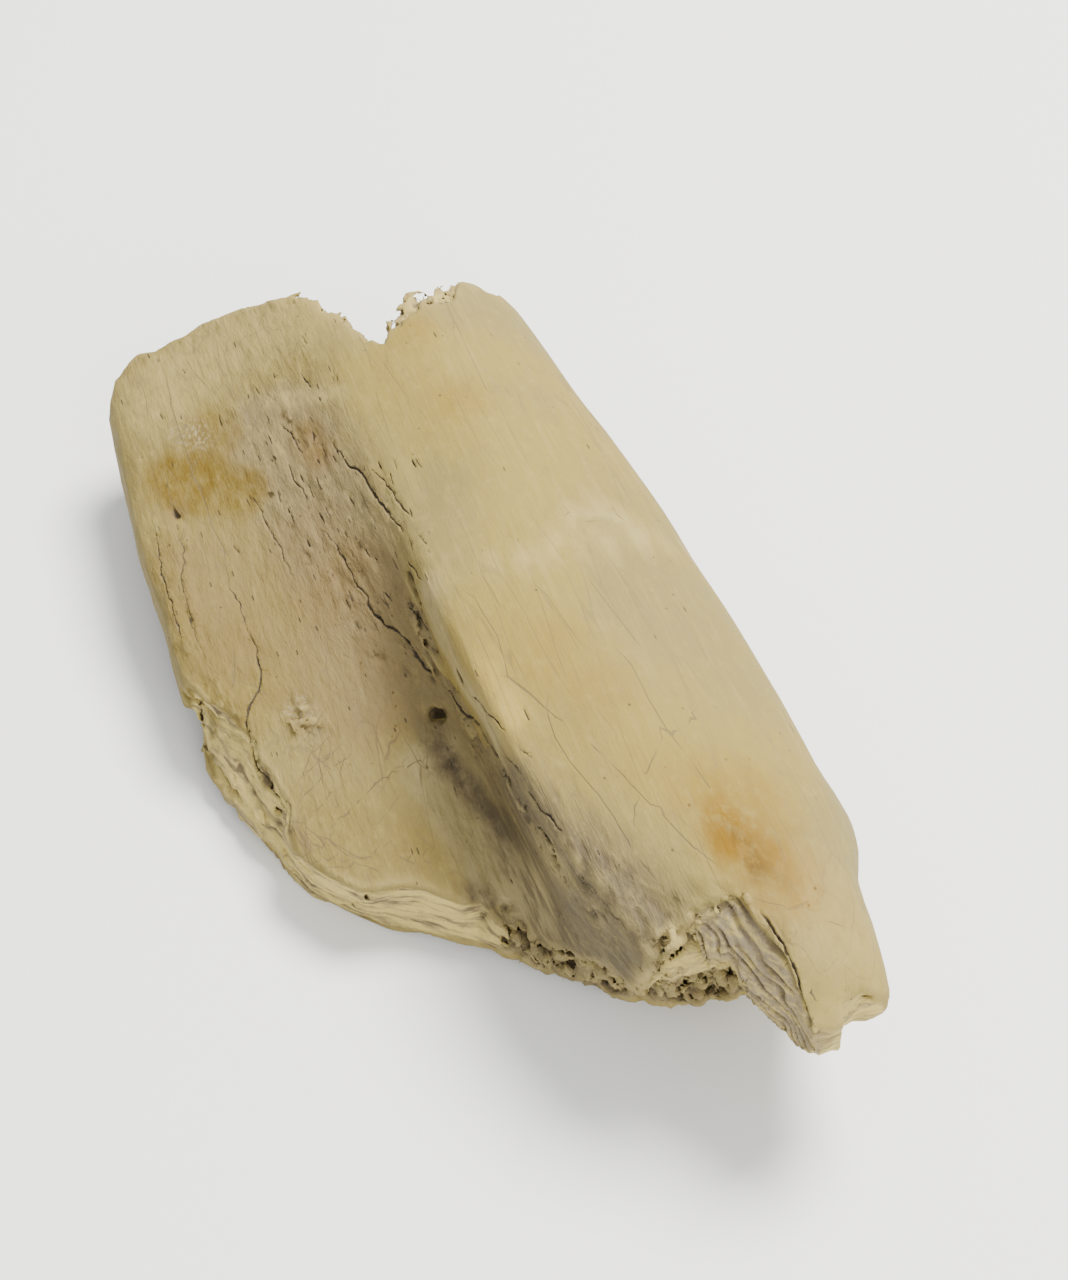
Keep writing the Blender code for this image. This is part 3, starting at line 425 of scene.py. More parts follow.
GREY = [
    ([(275, 430), (305, 480), (340, 540), (380, 600), (410, 650)], 5.0, 13.0, 1.0),
    ([(395, 660), (425, 690), (440, 720)], 2.5, 7.5, 0.9), ([(350, 640), (380, 690)], 3.0, 10.0, 0.6),
    ([(424, 650), (450, 705), (490, 765), (530, 830), (560, 885)], 3.0, 5.5, 1.0),
    ([(530, 770), (570, 825), (610, 875)], 2.5, 6.5, 0.35),
]
# Dark stains in the groove with painted shade along it, and painted shade in the crevices of the broken
# edges.
GROOVE = [
    ([(433, 735), (447, 757), (463, 780), (482, 803), (507, 828)], 0.9, 2.8, 0.8),
    ([(438, 742)], 0.8, 1.9, 1.0), ([(453, 764)], 0.9, 2.1, 1.0), ([(468, 784)], 0.9, 2.1, 1.0),
    ([(487, 806)], 0.9, 2.1, 1.0), ([(506, 828)], 0.7, 1.8, 1.0), ([(507, 828), (520, 850)], 0.5, 3.0, 0.5),
    ([(470, 893), (488, 902), (506, 916), (524, 934), (542, 952)], 0.6, 2.0, 1.0),
    ([(262, 772), (275, 798), (283, 822)], 0.3, 1.5, 0.9), ([(207, 708), (212, 732)], 0.3, 1.2, 0.8),
    ([(628, 984), (660, 994), (700, 1000)], 0.5, 2.4, 0.5),
]
PALE = [
    ([(440, 576), (470, 568), (510, 560), (560, 548), (620, 543), (690, 550)], 0.5, 1.8, 0.75),
    ([(565, 513), (600, 511), (630, 520)], 0.4, 1.7, 0.8), ([(575, 530), (640, 525)], 0.6, 4.0, 0.35),
    ([(540, 850), (560, 870)], 1.0, 6.0, 0.4), ([(850, 1010), (826, 1030)], 1.5, 5.0, 0.5),
    ([(672, 935), (680, 945), (672, 960)], 0.8, 2.2, 1.0), ([(640, 1000), (655, 985)], 1.5, 4.0, 0.6),
    ([(270, 400), (345, 392)], 0.6, 2.4, 0.5), ([(150, 400), (225, 345), (300, 315)], 4.0, 11.0, 0.35),
    ([(830, 895), (850, 960)], 3.0, 9.0, 0.35),
]
# Painted light: a paler coat along the crest, which the lamps leave in more shade than the ridge's top.
CREST_PAINTED_LIGHT = [([(482, 664), (500, 696), (516, 722)], 1.0, 3.0, 0.85)]
# Painted light: a lighter grey coat on the slopes beside the groove, where the form lies in the ridge's
# shade.
GROOVE_SIDE = [
    ([(434, 596), (441, 620), (462, 672), (481, 705), (500, 740)], 1.0, 4.2, 1.0),
    ([(432, 765), (455, 800), (482, 850), (505, 885), (538, 905)], 2.4, 6.5, 1.0),
    ([(482, 862), (494, 880)], 2.0, 5.0, 1.0),
]
# Where the left-facing flank is darkened: its own grey tone together with painted shade.
FLANK = [
    ([(524, 800), (552, 842), (584, 880), (615, 915), (645, 948)], 3.8, 7.2, 1.0),
    ([(575, 850), (612, 893), (650, 915)], 3.0, 8.0, 0.6),
]
WEBBED = [
    ([(300, 820), (330, 800), (365, 780)], 6.0, 11.0, 1.0), ([(350, 860), (400, 850)], 3.0, 8.0, 0.7),
]
SPECKLE = [
    ([(183, 432), (197, 437)], 0.8, 4.0, 1.0), ([(300, 715)], 1.0, 4.2, 0.9), ([(310, 735)], 0.6, 3.0, 0.5),
]
# The attributes that carry the patches, up to three kinds in each.
PATCH_ATTRIBUTES = {
    "stains": (ORANGE, OCHRE, BROWN), "tones": (GREY, GROOVE, PALE), "spots": (ORANGE_HEART, SPECKLE),
    "shades": (CREST_PAINTED_LIGHT, GROOVE_SIDE, WEBBED),
}
PATCH_WANDER = 0.22             # how much a patch's border wanders, over its width
PATCH_BORDER_SIZE = 2.0         # the least width of the bends in it

# Noise by its use: (height, size of its bumps along X, Y and Z, seed), or the last two of these. Then
# crumbs as (size, seed), and seeds on their own.
SWELLING = [(0.35, 15.0, 1)]
WRINKLE_SIZE, WRINKLE_SEED, WRINKLE_LEVEL = (2.1, 10.0, 2.1), 2, 0.3
RIDGE_WRINKLES, MORE_PLATE_WRINKLES = 0.12, 0.26
CRUMBLY = [(0.5, (3.2, 9.0, 3.2), 3), (0.3, (1.5, 4.0, 1.5), 4)]
FIBROUS = [(0.5, (6.0, 16.0, 1.9), 8), (0.2, (2.6, 10.0, 0.9), 9)]
LAYERED = [(0.55, (9.0, 22.0, 1.6), 5), (0.35, (2.0, 18.0, 0.9), 6)]
RUGGED_BALL = [(1.0, (2.4, 6.0, 2.4), 0), (0.5, (1.1, 2.6, 1.1), 3)]      # seeds are added to the ball's
LAYER_FURROWS, WALL_END, PORE_WIDTHS = ((1.2, 14.0, 1.0), 10), (2.0, 12), (3.5, 35)
CORE_END, CORE_SIDE = ((2.2, 3.0, 2.2), 27), (1.8, 29)
RECESS_INSIDE, RIM_UNDERSIDE = ((2.6, 5.0, 2.6), 17), (2.4, 19)
RIB_BENDS, RIB_GAPS, RIB_FIBRES = ((3.0, 7.0, 3.0), 20), ((1.0, 5.0, 1.0), 21), ((0.7, 4.0, 0.7), 22)
CRACK_WIDTHS = (1.8, 113)
END_CRUMBS, FINE_END_CRUMBS = ((2.8, 4.6, 1.8), 14), ((1.1, 1.8, 0.9), 34)
FIBROUS_CRUMBS, LAYERED_CRUMBS = ((3.0, 12.0, 1.3), 15), ((2.2, 16.0, 1.3), 16)
CORE_CRUMBS, RECESS_CRUMBS = ((1.7, 2.2, 1.7), 28), ((1.5, 3.0, 1.5), 18)
STRUT_CRUMBS, LUMP_CRUMBS, CHIP_CRUMBS = ((1.3, 1.6, 1.6), 23), ((1.1, 1.3, 1.3), 24), ((1.0, 1.4, 1.0), 25)
LUMP_SEED, HOLLOW_SEED, HOLE_SEED, CHIP_SEED, PIT_SEED = 40, 60, 90, 130, 131
HAIRLINE_SEED, PATCH_SEED, WANDER_SEED, SMALL_WANDER_SEED = 70, 80, 110, 115
PORE_SIZE, PORE_SEED = (2.0, 4.2, 1.5), 7

# Where things begin and where they are complete, along the axis that the name ends with.
WRINKLED_PLATE_X, TAN_PLATE_X = (-16.0, -22.0), (-16.0, -24.0)
LAYERED_X, LAYERED_Y = (-43.0, -47.0), (8.0, 2.0)
CRUMBLY_X, SMOOTHER_SPUR_Y = (-27.0, -22.0), (-83.0, -87.0)
NEAR_SPONGE_X, NEAR_SPONGE_Y, SPONGE_BY_SPUR_X = (-25.0, -22.0), (-53.0, -57.0), (5.5, 3.5)
FAR_SPONGE_X, FAR_SPONGE_Y = (-18.0, -14.0), (34.0, 37.0)
BROWN_SPONGE_Y = (0.0, -20.0)
WALL_Y, NO_SPONGE_AT_WALL_Y, WALL_END_Y = (-77.5, -79.5), -78.0, -95.0
# The flank's zone gets a darker grey, its own tone and painted shade in one.
FLANK_LEFT_X, FLANK_RIGHT_X, FLANK_Y, FLANK_Z = (-23.0, -19.0), (-7.0, -14.0), (-26.0, -50.0), (36.0, 30.0)
# Boxes around what is added or cut: centre and reach along X, Y and Z.
FAR_CORE_BOX = ((-3.0, 46.0, 30.0), (9.5, 12.0, 7.0))
RECESS_BOX = ((-5.0, -77.0, 20.0), (13.0, 9.0, 18.0))
WALL_BOX = ((-1.0, -86.0, 27.0), (9.0, 13.0, 10.5))

# The grid of the distance fields, in millimetres.
STEP = 0.45
COARSE = 2              # the coarse grid's step over the fine one's
GRID_LOW = np.array([-57.6, -98.0, -2.0])
GRID_HIGH = np.array([25.0, 68.0, 41.5])
BAND = 3.2              # the fields are refined within this distance of the surface
EDGE_REACH = 6.0        # and the broken faces are roughened within this distance of them
EDGE_BLEND = 0.6        # how softly skin and broken faces meet
THINNED_TRIANGLES = 128000      # before the finer triangles of the fibrous wall and the cracks
REFINING_ROUNDS = 4
WALL_EDGE = 0.30        # longest triangle edge on the fibrous wall, about
CRACK_EDGE = 0.28       # and at a crack
HOLLOW_REACH = 1.3      # how far around a point is looked at to tell hollows from edges

SEED = 41
random = np.random.default_rng(SEED)
PERMUTED = random.permutation(256).astype(np.int32)
GRADIENTS = random.normal(size=(256, 3))
GRADIENTS = (GRADIENTS / np.linalg.norm(GRADIENTS, axis=1)[:, None]).astype(F32)
SCATTER = random.random((256, 3)).astype(F32)
CELL_NUMBERS = random.random(256).astype(F32)


def smoothstep(low, high, values):
    share = np.clip((values - low) / (high - low), 0.0, 1.0)
    return share * share * (3.0 - 2.0 * share)


def hashed(cells):
    """A number from 0 to 255 for each whole-numbered cell."""
    first = PERMUTED[cells[:, 0] & 255]
    second = PERMUTED[(first + cells[:, 1]) & 255]
    return PERMUTED[(second + cells[:, 2]) & 255]


def ripple(points, size, seed):
    """Smooth noise, mostly between -1 and 1. The size is a bump's, or one along each axis."""
    place = (points / np.asarray(size, dtype=F32) + F32(seed * 17.37)).astype(F32)
    cells = np.floor(place).astype(np.int32)
    part = place - cells
    fade = part * part * part * (part * (part * 6.0 - 15.0) + 10.0)
    total = np.zeros(len(points), dtype=F32)
    for corner in np.ndindex(2, 2, 2):
        slope = GRADIENTS[hashed(cells + np.array(corner, dtype=np.int32))]
        value = ((part - np.array(corner, dtype=F32)) * slope).sum(axis=1)
        for axis in range(3):
            value *= fade[:, axis] if corner[axis] else 1.0 - fade[:, axis]
        total += value
    return total * F32(1.6)


def scattered_cells(points, size, seed):
    """Distance to the nearest and the second nearest of scattered points, in units of the size, and the
    number from 0 to 1 that the nearest has."""
    place = (points / np.asarray(size, dtype=F32) + F32(seed * 11.73)).astype(F32)
    cells = np.floor(place).astype(np.int32)
    nearest = np.full(len(points), 9.0, dtype=F32)
    second = np.full(len(points), 9.0, dtype=F32)
    number = np.zeros(len(points), dtype=F32)
    for shift in np.ndindex(3, 3, 3):
        cell = cells + (np.array(shift, dtype=np.int32) - 1)
        code = hashed(cell)
        gap = place - (cell + SCATTER[code])
        distance = np.sqrt((gap * gap).sum(axis=1))
        second = np.minimum(second, np.maximum(nearest, distance))
        number = np.where(distance < nearest, CELL_NUMBERS[code], number)
        nearest = np.minimum(nearest, distance)
    return nearest, second, number


def bumps(points, layers):
    """Several noises added up."""
    return sum(height * ripple(points, size, seed) for height, size, seed in layers)


def drift(points, size, seed):
    """A smooth random vector at each point."""
    return np.column_stack([ripple(points, size, seed + axis) for axis in range(3)])


# ---------------------------------------------------------------- camera and pixels

def camera_axes():
    """The camera's forward, right and up, in the design axes."""
    level = np.array([math.sin(CAMERA_HEADING), math.cos(CAMERA_HEADING), 0.0])
    forward = level * math.cos(CAMERA_PITCH) - np.array([0.0, 0.0, math.sin(CAMERA_PITCH)])
    right = np.array([level[1], -level[0], 0.0])
    return forward, right, np.cross(right, forward)


def row_frame(points):
    """Design millimetres to metres of the frame."""
    return (np.asarray(points, dtype=float) - FOOTPRINT_MIDDLE) * MM


def design(points):
    """Metres of the frame to design millimetres."""
    return np.asarray(points, dtype=float) / MM + FOOTPRINT_MIDDLE


def mesh_tree(mesh):
    return BVHTree.FromPolygons([v.co for v in mesh.vertices], [p.vertices for p in mesh.polygons])


FORWARD, RIGHT, UP = camera_axes()
PIXELS_PER_UNIT = LENS / SENSOR * PICTURE[1]
CAD_TREE = mesh_tree(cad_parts["rib_bone"].data)


def on_bone(pixel, tree=CAD_TREE):
    """The point of the bone that the camera sees at a pixel, in the design axes."""
    across = (pixel[0] - PICTURE[0] / 2) / PIXELS_PER_UNIT
    down = (pixel[1] - PICTURE[1] / 2) / PIXELS_PER_UNIT
    start = Vector(row_frame(CAMERA_PLACE))
    way = Vector(FORWARD + RIGHT * across - UP * down).normalized()
    hit = tree.ray_cast(start, way)[0]
    if hit is None:     # just past an edge: the bone's nearest point
        found = [tree.find_nearest(start + way * float(reach)) for reach in MISSED_REACHES]
        hit = min(found, key=lambda one: one[3])[0]
    return design(hit)


def path_on_bone(pixels, tree=CAD_TREE):
    return np.array([on_bone(pixel, tree) for pixel in pixels])


def close_path_on_bone(pixels, tree):
    """A path of pixels on the bone, looked up at close spacing."""
    corners = np.array(pixels, dtype=float)
    places = np.concatenate([[0.0], np.cumsum(np.linalg.norm(np.diff(corners, axis=0), axis=1))])
    wanted = np.linspace(0.0, places[-1], max(2, round(places[-1] / PATH_PIXELS) + 1))
    spots = np.column_stack([np.interp(wanted, places, corners[:, axis]) for axis in (0, 1)])
    return path_on_bone(spots, tree)


# ---------------------------------------------------------------- outer form and broken faces

def station_slopes(places, values):
    steps = np.diff(places)
    rates = np.diff(values, axis=0) / steps[:, None, None]
    slopes = np.empty_like(values)
    slopes[0], slopes[-1] = rates[0], rates[-1]
    before, after = steps[:-1, None, None], steps[1:, None, None]
    slopes[1:-1] = (rates[:-1] * after + rates[1:] * before) / (before + after)
    return slopes


STATION_Y = np.array([station[0] for station in STATIONS], dtype=float)
STATION_POINTS = np.array([station[1:] for station in STATIONS], dtype=float)
STATION_SLOPES = station_slopes(STATION_Y, STATION_POINTS)


def section_corners(y):
    """The section points at y, by cubic interpolation between stations, with one more beside the crest."""
    index = int(np.clip(np.searchsorted(STATION_Y, y) - 1, 0, len(STATION_Y) - 2))
    step = STATION_Y[index + 1] - STATION_Y[index]
    t = float(np.clip((y - STATION_Y[index]) / step, 0.0, 1.0))
    corners = ((2 * t**3 - 3 * t**2 + 1) * STATION_POINTS[index]
               + (t**3 - 2 * t**2 + t) * step * STATION_SLOPES[index]
               + (3 * t**2 - 2 * t**3) * STATION_POINTS[index + 1]
               + (t**3 - t**2) * step * STATION_SLOPES[index + 1])
    sharp = float(smoothstep(*CREST_SHARPENS, y) * smoothstep(*reversed(CREST_BLUNTS), y))
    corners[CREST] += CREST_SHIFT * sharp
    crest, top = corners[CREST], corners[CREST + 1]
    height = SHOULDER_HEIGHT + MORE_SHOULDER_HEIGHT * sharp
    shoulder = crest + (top - crest) * SHOULDER_PLACE + np.array([0.0, height])
    return np.insert(corners, CREST + 1, shoulder, axis=0)


def closed_curve(corners, per_span):
    """Points of a closed centripetal Catmull-Rom curve through the corners."""
    p0, p1, p2, p3 = (np.roll(corners, -shift, axis=0) for shift in (-1, 0, 1, 2))
    t1 = np.linalg.norm(p1 - p0, axis=1)[:, None] ** 0.5
    t2 = t1 + np.linalg.norm(p2 - p1, axis=1)[:, None] ** 0.5
    t3 = t2 + np.linalg.norm(p3 - p2, axis=1)[:, None] ** 0.5
    spans = []
    for share in np.linspace(0.0, 1.0, per_span, endpoint=False):
        t = t1 + (t2 - t1) * share
        a1 = ((t1 - t) * p0 + t * p1) / t1
        a2 = ((t2 - t) * p1 + (t - t1) * p2) / (t2 - t1)
        a3 = ((t3 - t) * p2 + (t - t2) * p3) / (t3 - t2)
        b1 = ((t2 - t) * a1 + t * a2) / t2
        b2 = ((t3 - t) * a2 + (t - t1) * a3) / (t3 - t1)
        spans.append(((t2 - t) * b1 + (t - t1) * b2) / (t2 - t1))
    return np.stack(spans, axis=1).reshape(-1, 2)


def polygon_distance(points, polygon):
    """Signed distance in the plane, negative inside."""
    points = points.astype(F32)
    start = polygon.astype(F32)
    way = np.roll(start, -1, axis=0) - start
    gap_x = points[:, None, 0] - start[None, :, 0]
    gap_y = points[:, None, 1] - start[None, :, 1]
    length = (way * way).sum(axis=1) + F32(1e-12)
    share = np.clip((gap_x * way[:, 0] + gap_y * way[:, 1]) / length, 0.0, 1.0)
    off_x = gap_x - share * way[:, 0]
    off_y = gap_y - share * way[:, 1]
    distance = np.sqrt((off_x * off_x + off_y * off_y).min(axis=1))
    end_y = start[:, 1] + way[:, 1]
    spans = (start[:, 1] > points[:, 1:2]) != (end_y > points[:, 1:2])
    with np.errstate(divide="ignore", invalid="ignore"):
        crossing = way[:, 0] * (points[:, 1:2] - start[:, 1]) / way[:, 1] + start[:, 0]
    inside = (spans & (points[:, 0:1] < crossing)).sum(axis=1) % 2 == 1
    return np.where(inside, -distance, distance)


def even_outline():
    """The outline's rows with their faces' heights, interpolated to an even spacing around it."""
    rows = np.array([(*point, low, high) for stretch, low, high in FACES for point in stretch])
    closed = np.vstack([rows, rows[:1]])
    lengths = np.linalg.norm(np.diff(closed[:, 2:4], axis=0), axis=1)
    places = np.concatenate([[0.0], np.cumsum(lengths)])
    wanted = np.linspace(0.0, places[-1], int(places[-1] / OUTLINE_STEP), endpoint=False)
    return np.column_stack([np.interp(wanted, places, closed[:, column]) for column in range(6)])


def grid_axes(step):
    return [np.arange(GRID_LOW[axis], GRID_HIGH[axis] + step, step) for axis in range(3)]


def coarse_fields():
    """Distance from the outer form and from the broken faces, on the coarse grid."""
    xs, ys, zs = grid_axes(STEP * COARSE)
    form = np.empty((len(xs), len(ys), len(zs)), dtype=F32)
    plane = np.stack(np.meshgrid(xs, zs, indexing="ij"), axis=-1).reshape(-1, 2)
    for index, y in enumerate(ys):
        ring = closed_curve(section_corners(y), POINTS_PER_SPAN)
        form[:, index, :] = polygon_distance(plane, ring).reshape(len(xs), len(zs))
    broken = np.empty_like(form)
    rows = even_outline()
    plane = np.stack(np.meshgrid(xs, ys, indexing="ij"), axis=-1).reshape(-1, 2)
    for index, z in enumerate(zs):
        share = smoothstep(rows[:, 4], rows[:, 5], z)[:, None]
        ring = rows[:, 0:2] * (1.0 - share) + rows[:, 2:4] * share
        broken[:, :, index] = polygon_distance(plane, ring).reshape(len(xs), len(ys))
    return form, broken


def finer(field):
    """A grid of half the step, by cubic interpolation along each axis."""
    for axis in range(3):
        field = np.moveaxis(field, axis, 0)
        padded = np.concatenate([field[:1], field, field[-1:]])
        middles = (9.0 * (padded[1:-2] + padded[2:-1]) - padded[:-3] - padded[3:]) / 16.0
        made = np.empty((2 * len(field) - 1, *field.shape[1:]), dtype=F32)
        made[0::2], made[1::2] = field, middles
        field = np.moveaxis(made, 0, axis)
    return np.ascontiguousarray(field)


def sampled(field, points):
    """The field at points in the design axes, by linear interpolation."""
    place = (points - GRID_LOW) / STEP
    place = np.clip(place, 0.0, np.array(field.shape) - 1.001)
    cells = place.astype(np.int32)
    part = (place - cells).astype(F32)
    total = np.zeros(len(points), dtype=F32)
    for corner in np.ndindex(2, 2, 2):
        weight = np.ones(len(points), dtype=F32)
        for axis in range(3):
            weight *= part[:, axis] if corner[axis] else 1.0 - part[:, axis]
        total += weight * field[tuple((cells + np.array(corner)).T)]
    return total


def ball(points, centre, half_sizes, turn, roughness, seed):
    """Distance from a rough ellipsoid, about, negative inside."""
    gap = points - np.array(centre, dtype=F32)
    cosine, sine = math.cos(math.radians(turn)), math.sin(math.radians(turn))
    local = np.column_stack([gap[:, 0] * cosine + gap[:, 1] * sine,
                             gap[:, 1] * cosine - gap[:, 0] * sine, gap[:, 2]])
    half = np.array(half_sizes, dtype=F32)
    reach = np.linalg.norm(local / half, axis=1)
    slope = np.linalg.norm(local / half**2, axis=1) + F32(1e-6)
    distance = reach * (reach - 1.0) / slope
    rugged = bumps(points, [(height, size, seed + more) for height, size, more in RUGGED_BALL])
    return distance + roughness * 0.6 * rugged


def near(points, centre, reach):
    """Which points lie in the box around the centre."""
    return np.flatnonzero((np.abs(points - np.array(centre, dtype=F32)) < np.asarray(reach)).all(axis=1))


def close_to(points, path, reach):
    """Which points lie in the box around the path."""
    low, high = path.min(axis=0), path.max(axis=0)
    return near(points, (low + high) / 2, (high - low) / 2 + reach)


def path_distance(points, path):
    """Distance to a path, and how far along it (0 to 1) the nearest point is."""
    best = np.full(len(points), 1e9, dtype=F32)
    along = np.zeros(len(points), dtype=F32)
    lengths = np.linalg.norm(np.diff(path, axis=0), axis=1)
    places = np.concatenate([[0.0], np.cumsum(lengths)]) / lengths.sum()
    for index in range(len(path) - 1):
        way = (path[index + 1] - path[index]).astype(F32)
        gap = points - path[index].astype(F32)
        share = np.clip(gap @ way / (way @ way), 0.0, 1.0)
        distance = np.linalg.norm(gap - share[:, None] * way, axis=1)
        closer = distance < best
        best = np.where(closer, distance, best)
        spot = places[index] + share * (places[index + 1] - places[index])
        along = np.where(closer, spot, along)
    return best, along


# ---------------------------------------------------------------- the bone as one field

def wall_place(points):
    """Distance from the fibrous wall's face (positive outside it), and the share of the way up it."""
    rows = WALL[np.argsort(WALL[:, 0])]
    x_top, z_top, x_low, z_low = (np.interp(points[:, 1], rows[:, 0], column) for column in rows[:, 1:].T)
    share = (points[:, 2] - z_low) / (z_top - z_low)
    face = x_low + (x_top - x_low) * share
    steep = (z_top - z_low) / np.hypot(z_top - z_low, x_top - x_low)
    return ((face - points[:, 0]) * steep).astype(F32), share.astype(F32)


def crumbs(points, size, seed):
    """Angular crumbs: each stands out by its own amount, from -0.5 to 0.5, with a gap around it."""
    bent = points + 0.25 * min(size) * drift(points, size, seed + 1)
    nearest, second, number = scattered_cells(bent, size, seed)
    return number - 0.5 - 0.5 * smoothstep(0.2, 0.0, second - nearest)


def rough_edge(points):
    """How far the broken faces stand out: layered at the left side, crumbly at the ends, fibrous between."""
    side = smoothstep(*LAYERED_X, points[:, 0]) * smoothstep(*LAYERED_Y, points[:, 1])
    end = smoothstep(*CRUMBLY_X, points[:, 0])
    spur = smoothstep(*SMOOTHER_SPUR_Y, points[:, 1])
    crumbly = bumps(points, CRUMBLY)
    crumbly += (1.1 - 0.95 * spur) * crumbs(points, *END_CRUMBS)
    crumbly += 0.4 * (1.0 - spur) * crumbs(points, *FINE_END_CRUMBS)
    fibrous = bumps(points, FIBROUS)
    fibrous += 0.3 * crumbs(points, *FIBROUS_CRUMBS)
    layered = bumps(points, LAYERED)
    layered += 0.8 * crumbs(points, *LAYERED_CRUMBS) - 0.5 * np.abs(ripple(points, *LAYER_FURROWS))
    return layered * side + (crumbly * end + fibrous * (1.0 - end)) * (1.0 - side)


def far_core(points, skin, edge):
    """Distance from the spongy core that stands out of the far end behind the ridge's skin."""
    reach = np.interp(points[:, 0], *np.array(FAR_CORE).T)
    rough = ripple(points, *CORE_END) + 1.2 * crumbs(points, *CORE_CRUMBS)
    return np.maximum(skin + 1.2 + 0.7 * ripple(points, *CORE_SIDE), edge - reach - rough)


def recess(points, skin):
    """Positive where the inside under the near end's rim has gone."""
    back = np.interp(points[:, 0], *np.array(RECESS_BACK).T)
    off_wall, share = wall_place(points)
    beside = off_wall - 0.2 + 3.0 * smoothstep(0.05, -0.25, share)
    rough = 0.7 * ripple(points, *RECESS_INSIDE) + 0.9 * crumbs(points, *RECESS_CRUMBS)
    inner = -skin - RIM_THICKNESS + 0.5 * ripple(points, *RIM_UNDERSIDE)
    return np.minimum.reduce([back - points[:, 1] - rough, inner, beside, points[:, 2] - RECESS_FLOOR])


def sponge_share(points):
    """Where the spongy inside of the bone lies open."""
    x, y = points[:, 0], points[:, 1]
    near_end = smoothstep(*NEAR_SPONGE_Y, y) * smoothstep(*NEAR_SPONGE_X, x)
    off_wall, _ = wall_place(points)
    at_wall = (off_wall < 1.0) & (y < NO_SPONGE_AT_WALL_Y)
    near_end = near_end * np.where(at_wall, 0.0, 1.0) * smoothstep(*SPONGE_BY_SPUR_X, x)
    far_end = smoothstep(*FAR_SPONGE_Y, y) * smoothstep(*FAR_SPONGE_X, x)
    return np.maximum(near_end, far_end)


def flakes(points):
    """How far the weathered flakes stand out at a point."""
    height = np.zeros(len(points), dtype=F32)
    for pixels, inner, outer, amount in FLAKY:
        path = path_on_bone(pixels)
        some = close_to(points, path, outer)
        distance, _ = path_distance(points[some], path)
        height[some] = np.maximum(height[some], amount * smoothstep(outer, inner, distance))
    some = np.flatnonzero(height > 0.01)
    bent = points[some] + FLAKE_BEND * drift(points[some], FLAKE_BEND_SIZE, FLAKE_BEND_SEED)
    nearest, second, number = scattered_cells(bent, FLAKE_SIZE, FLAKE_SEED)
    gap = smoothstep(0.16, 0.0, second - nearest)
    height[some] *= 1.6 * (number - 0.5) - 0.8 * gap
    return height


def wandered(points, amount):
    """Points moved about smoothly, so that a straight path meanders for them."""
    points = points.astype(F32)
    small = drift(points, SMALL_WANDER_SIZE, SMALL_WANDER_SEED)
    return points + F32(amount) * (drift(points, WANDER_SIZE, WANDER_SEED) + SMALL_WANDER * small)


def add(bone, some, distance):
    bone[some] = np.minimum(bone[some], distance)


def cut(bone, some, gone):
    """Takes away from the bone what is positive in the other field."""
    bone[some] = np.maximum(bone[some], gone)


def dressed_form(points, skin, edge):
    """The wrinkled and flaked skin, the rough broken faces, and the bone inside both."""
    plate = smoothstep(*WRINKLED_PLATE_X, points[:, 0])
    wrinkles = WRINKLE_LEVEL - np.abs(ripple(points, WRINKLE_SIZE, WRINKLE_SEED))
    wrinkled = (RIDGE_WRINKLES + MORE_PLATE_WRINKLES * plate) * wrinkles
    skin = skin - (bumps(points, SWELLING) + wrinkled + flakes(points))
    edge = edge.copy()
    some = np.flatnonzero(edge > -EDGE_REACH)
    edge[some] -= rough_edge(points[some])
    gap = np.maximum(EDGE_BLEND - np.abs(skin - edge), 0.0) / EDGE_BLEND
    return skin, edge, np.maximum(skin, edge) + gap * gap * EDGE_BLEND * 0.25


def add_ends(bone, points, skin, edge):
    """The spongy core that stands out at the far end, the recess at the near end, and what is left in it."""
    some = near(points, *FAR_CORE_BOX)
    add(bone, some, far_core(points[some], skin[some], edge[some]))
    some = near(points, *RECESS_BOX)
    cut(bone, some, recess(points[some], skin[some]))
    for *corners, half_width in STRUTS:
        path = np.array(corners)
        some = close_to(points, path, half_width + 1.5)
        distance, _ = path_distance(points[some], path)
        add(bone, some, distance - half_width - 0.8 * half_width * crumbs(points[some], *STRUT_CRUMBS))
    for number, (centre, size) in enumerate(SPONGE_LUMPS):
        some = near(points, centre, size + 2.5)
        lump = ball(points[some], centre, (size, size * 0.8, size), 0.0, 0.5, LUMP_SEED + number)
        lump -= 0.9 * crumbs(points[some], *LUMP_CRUMBS)
        add(bone, some, lump)


def cut_hollows(bone, points):
    for number, (centre, half_sizes, turn, roughness) in enumerate(HOLLOWS):
        some = near(points, centre, max(half_sizes) + 2.5)
        cut(bone, some, -ball(points[some], centre, half_sizes, turn, roughness, HOLLOW_SEED + number))
    for number, (centre, size) in enumerate(SPONGE_HOLES):
        some = near(points, centre, size * 1.3 + 2.5)
        half_sizes = (size, size * 1.3, size * 0.8)
        cut(bone, some, -ball(points[some], centre, half_sizes, 40.0, 0.6, HOLE_SEED + number))


def cut_pores(bone, points, skin):
    """Spongy pores where the inside lies open, deeper than the dense outer bone."""
    sponge = sponge_share(points)
    some = np.flatnonzero((bone > -3.0) & (skin < -1.0) & (sponge > 0.05))
    nearest, second, _ = scattered_cells(points[some], PORE_SIZE, PORE_SEED)
    deep = smoothstep(-1.0, -2.2, skin[some]) * sponge[some]
    pore = (0.16 + 0.14 * ripple(points[some], *PORE_WIDTHS) - (second - nearest)) * 1.6
    cut(bone, some, np.minimum(pore, deep * 4.0 - 1.0))


def add_wall(bone, points, skin):
    """The fibrous wall that runs down the spur's left side."""
    some = near(points, *WALL_BOX)
    off_wall, share = wall_place(points[some])
    near_end = WALL_END_Y - points[some, 1] + 0.6 * ripple(points[some], *WALL_END)
    add(bone, some, np.maximum.reduce([off_wall, -share * WALL_HEIGHT, skin[some], near_end]))


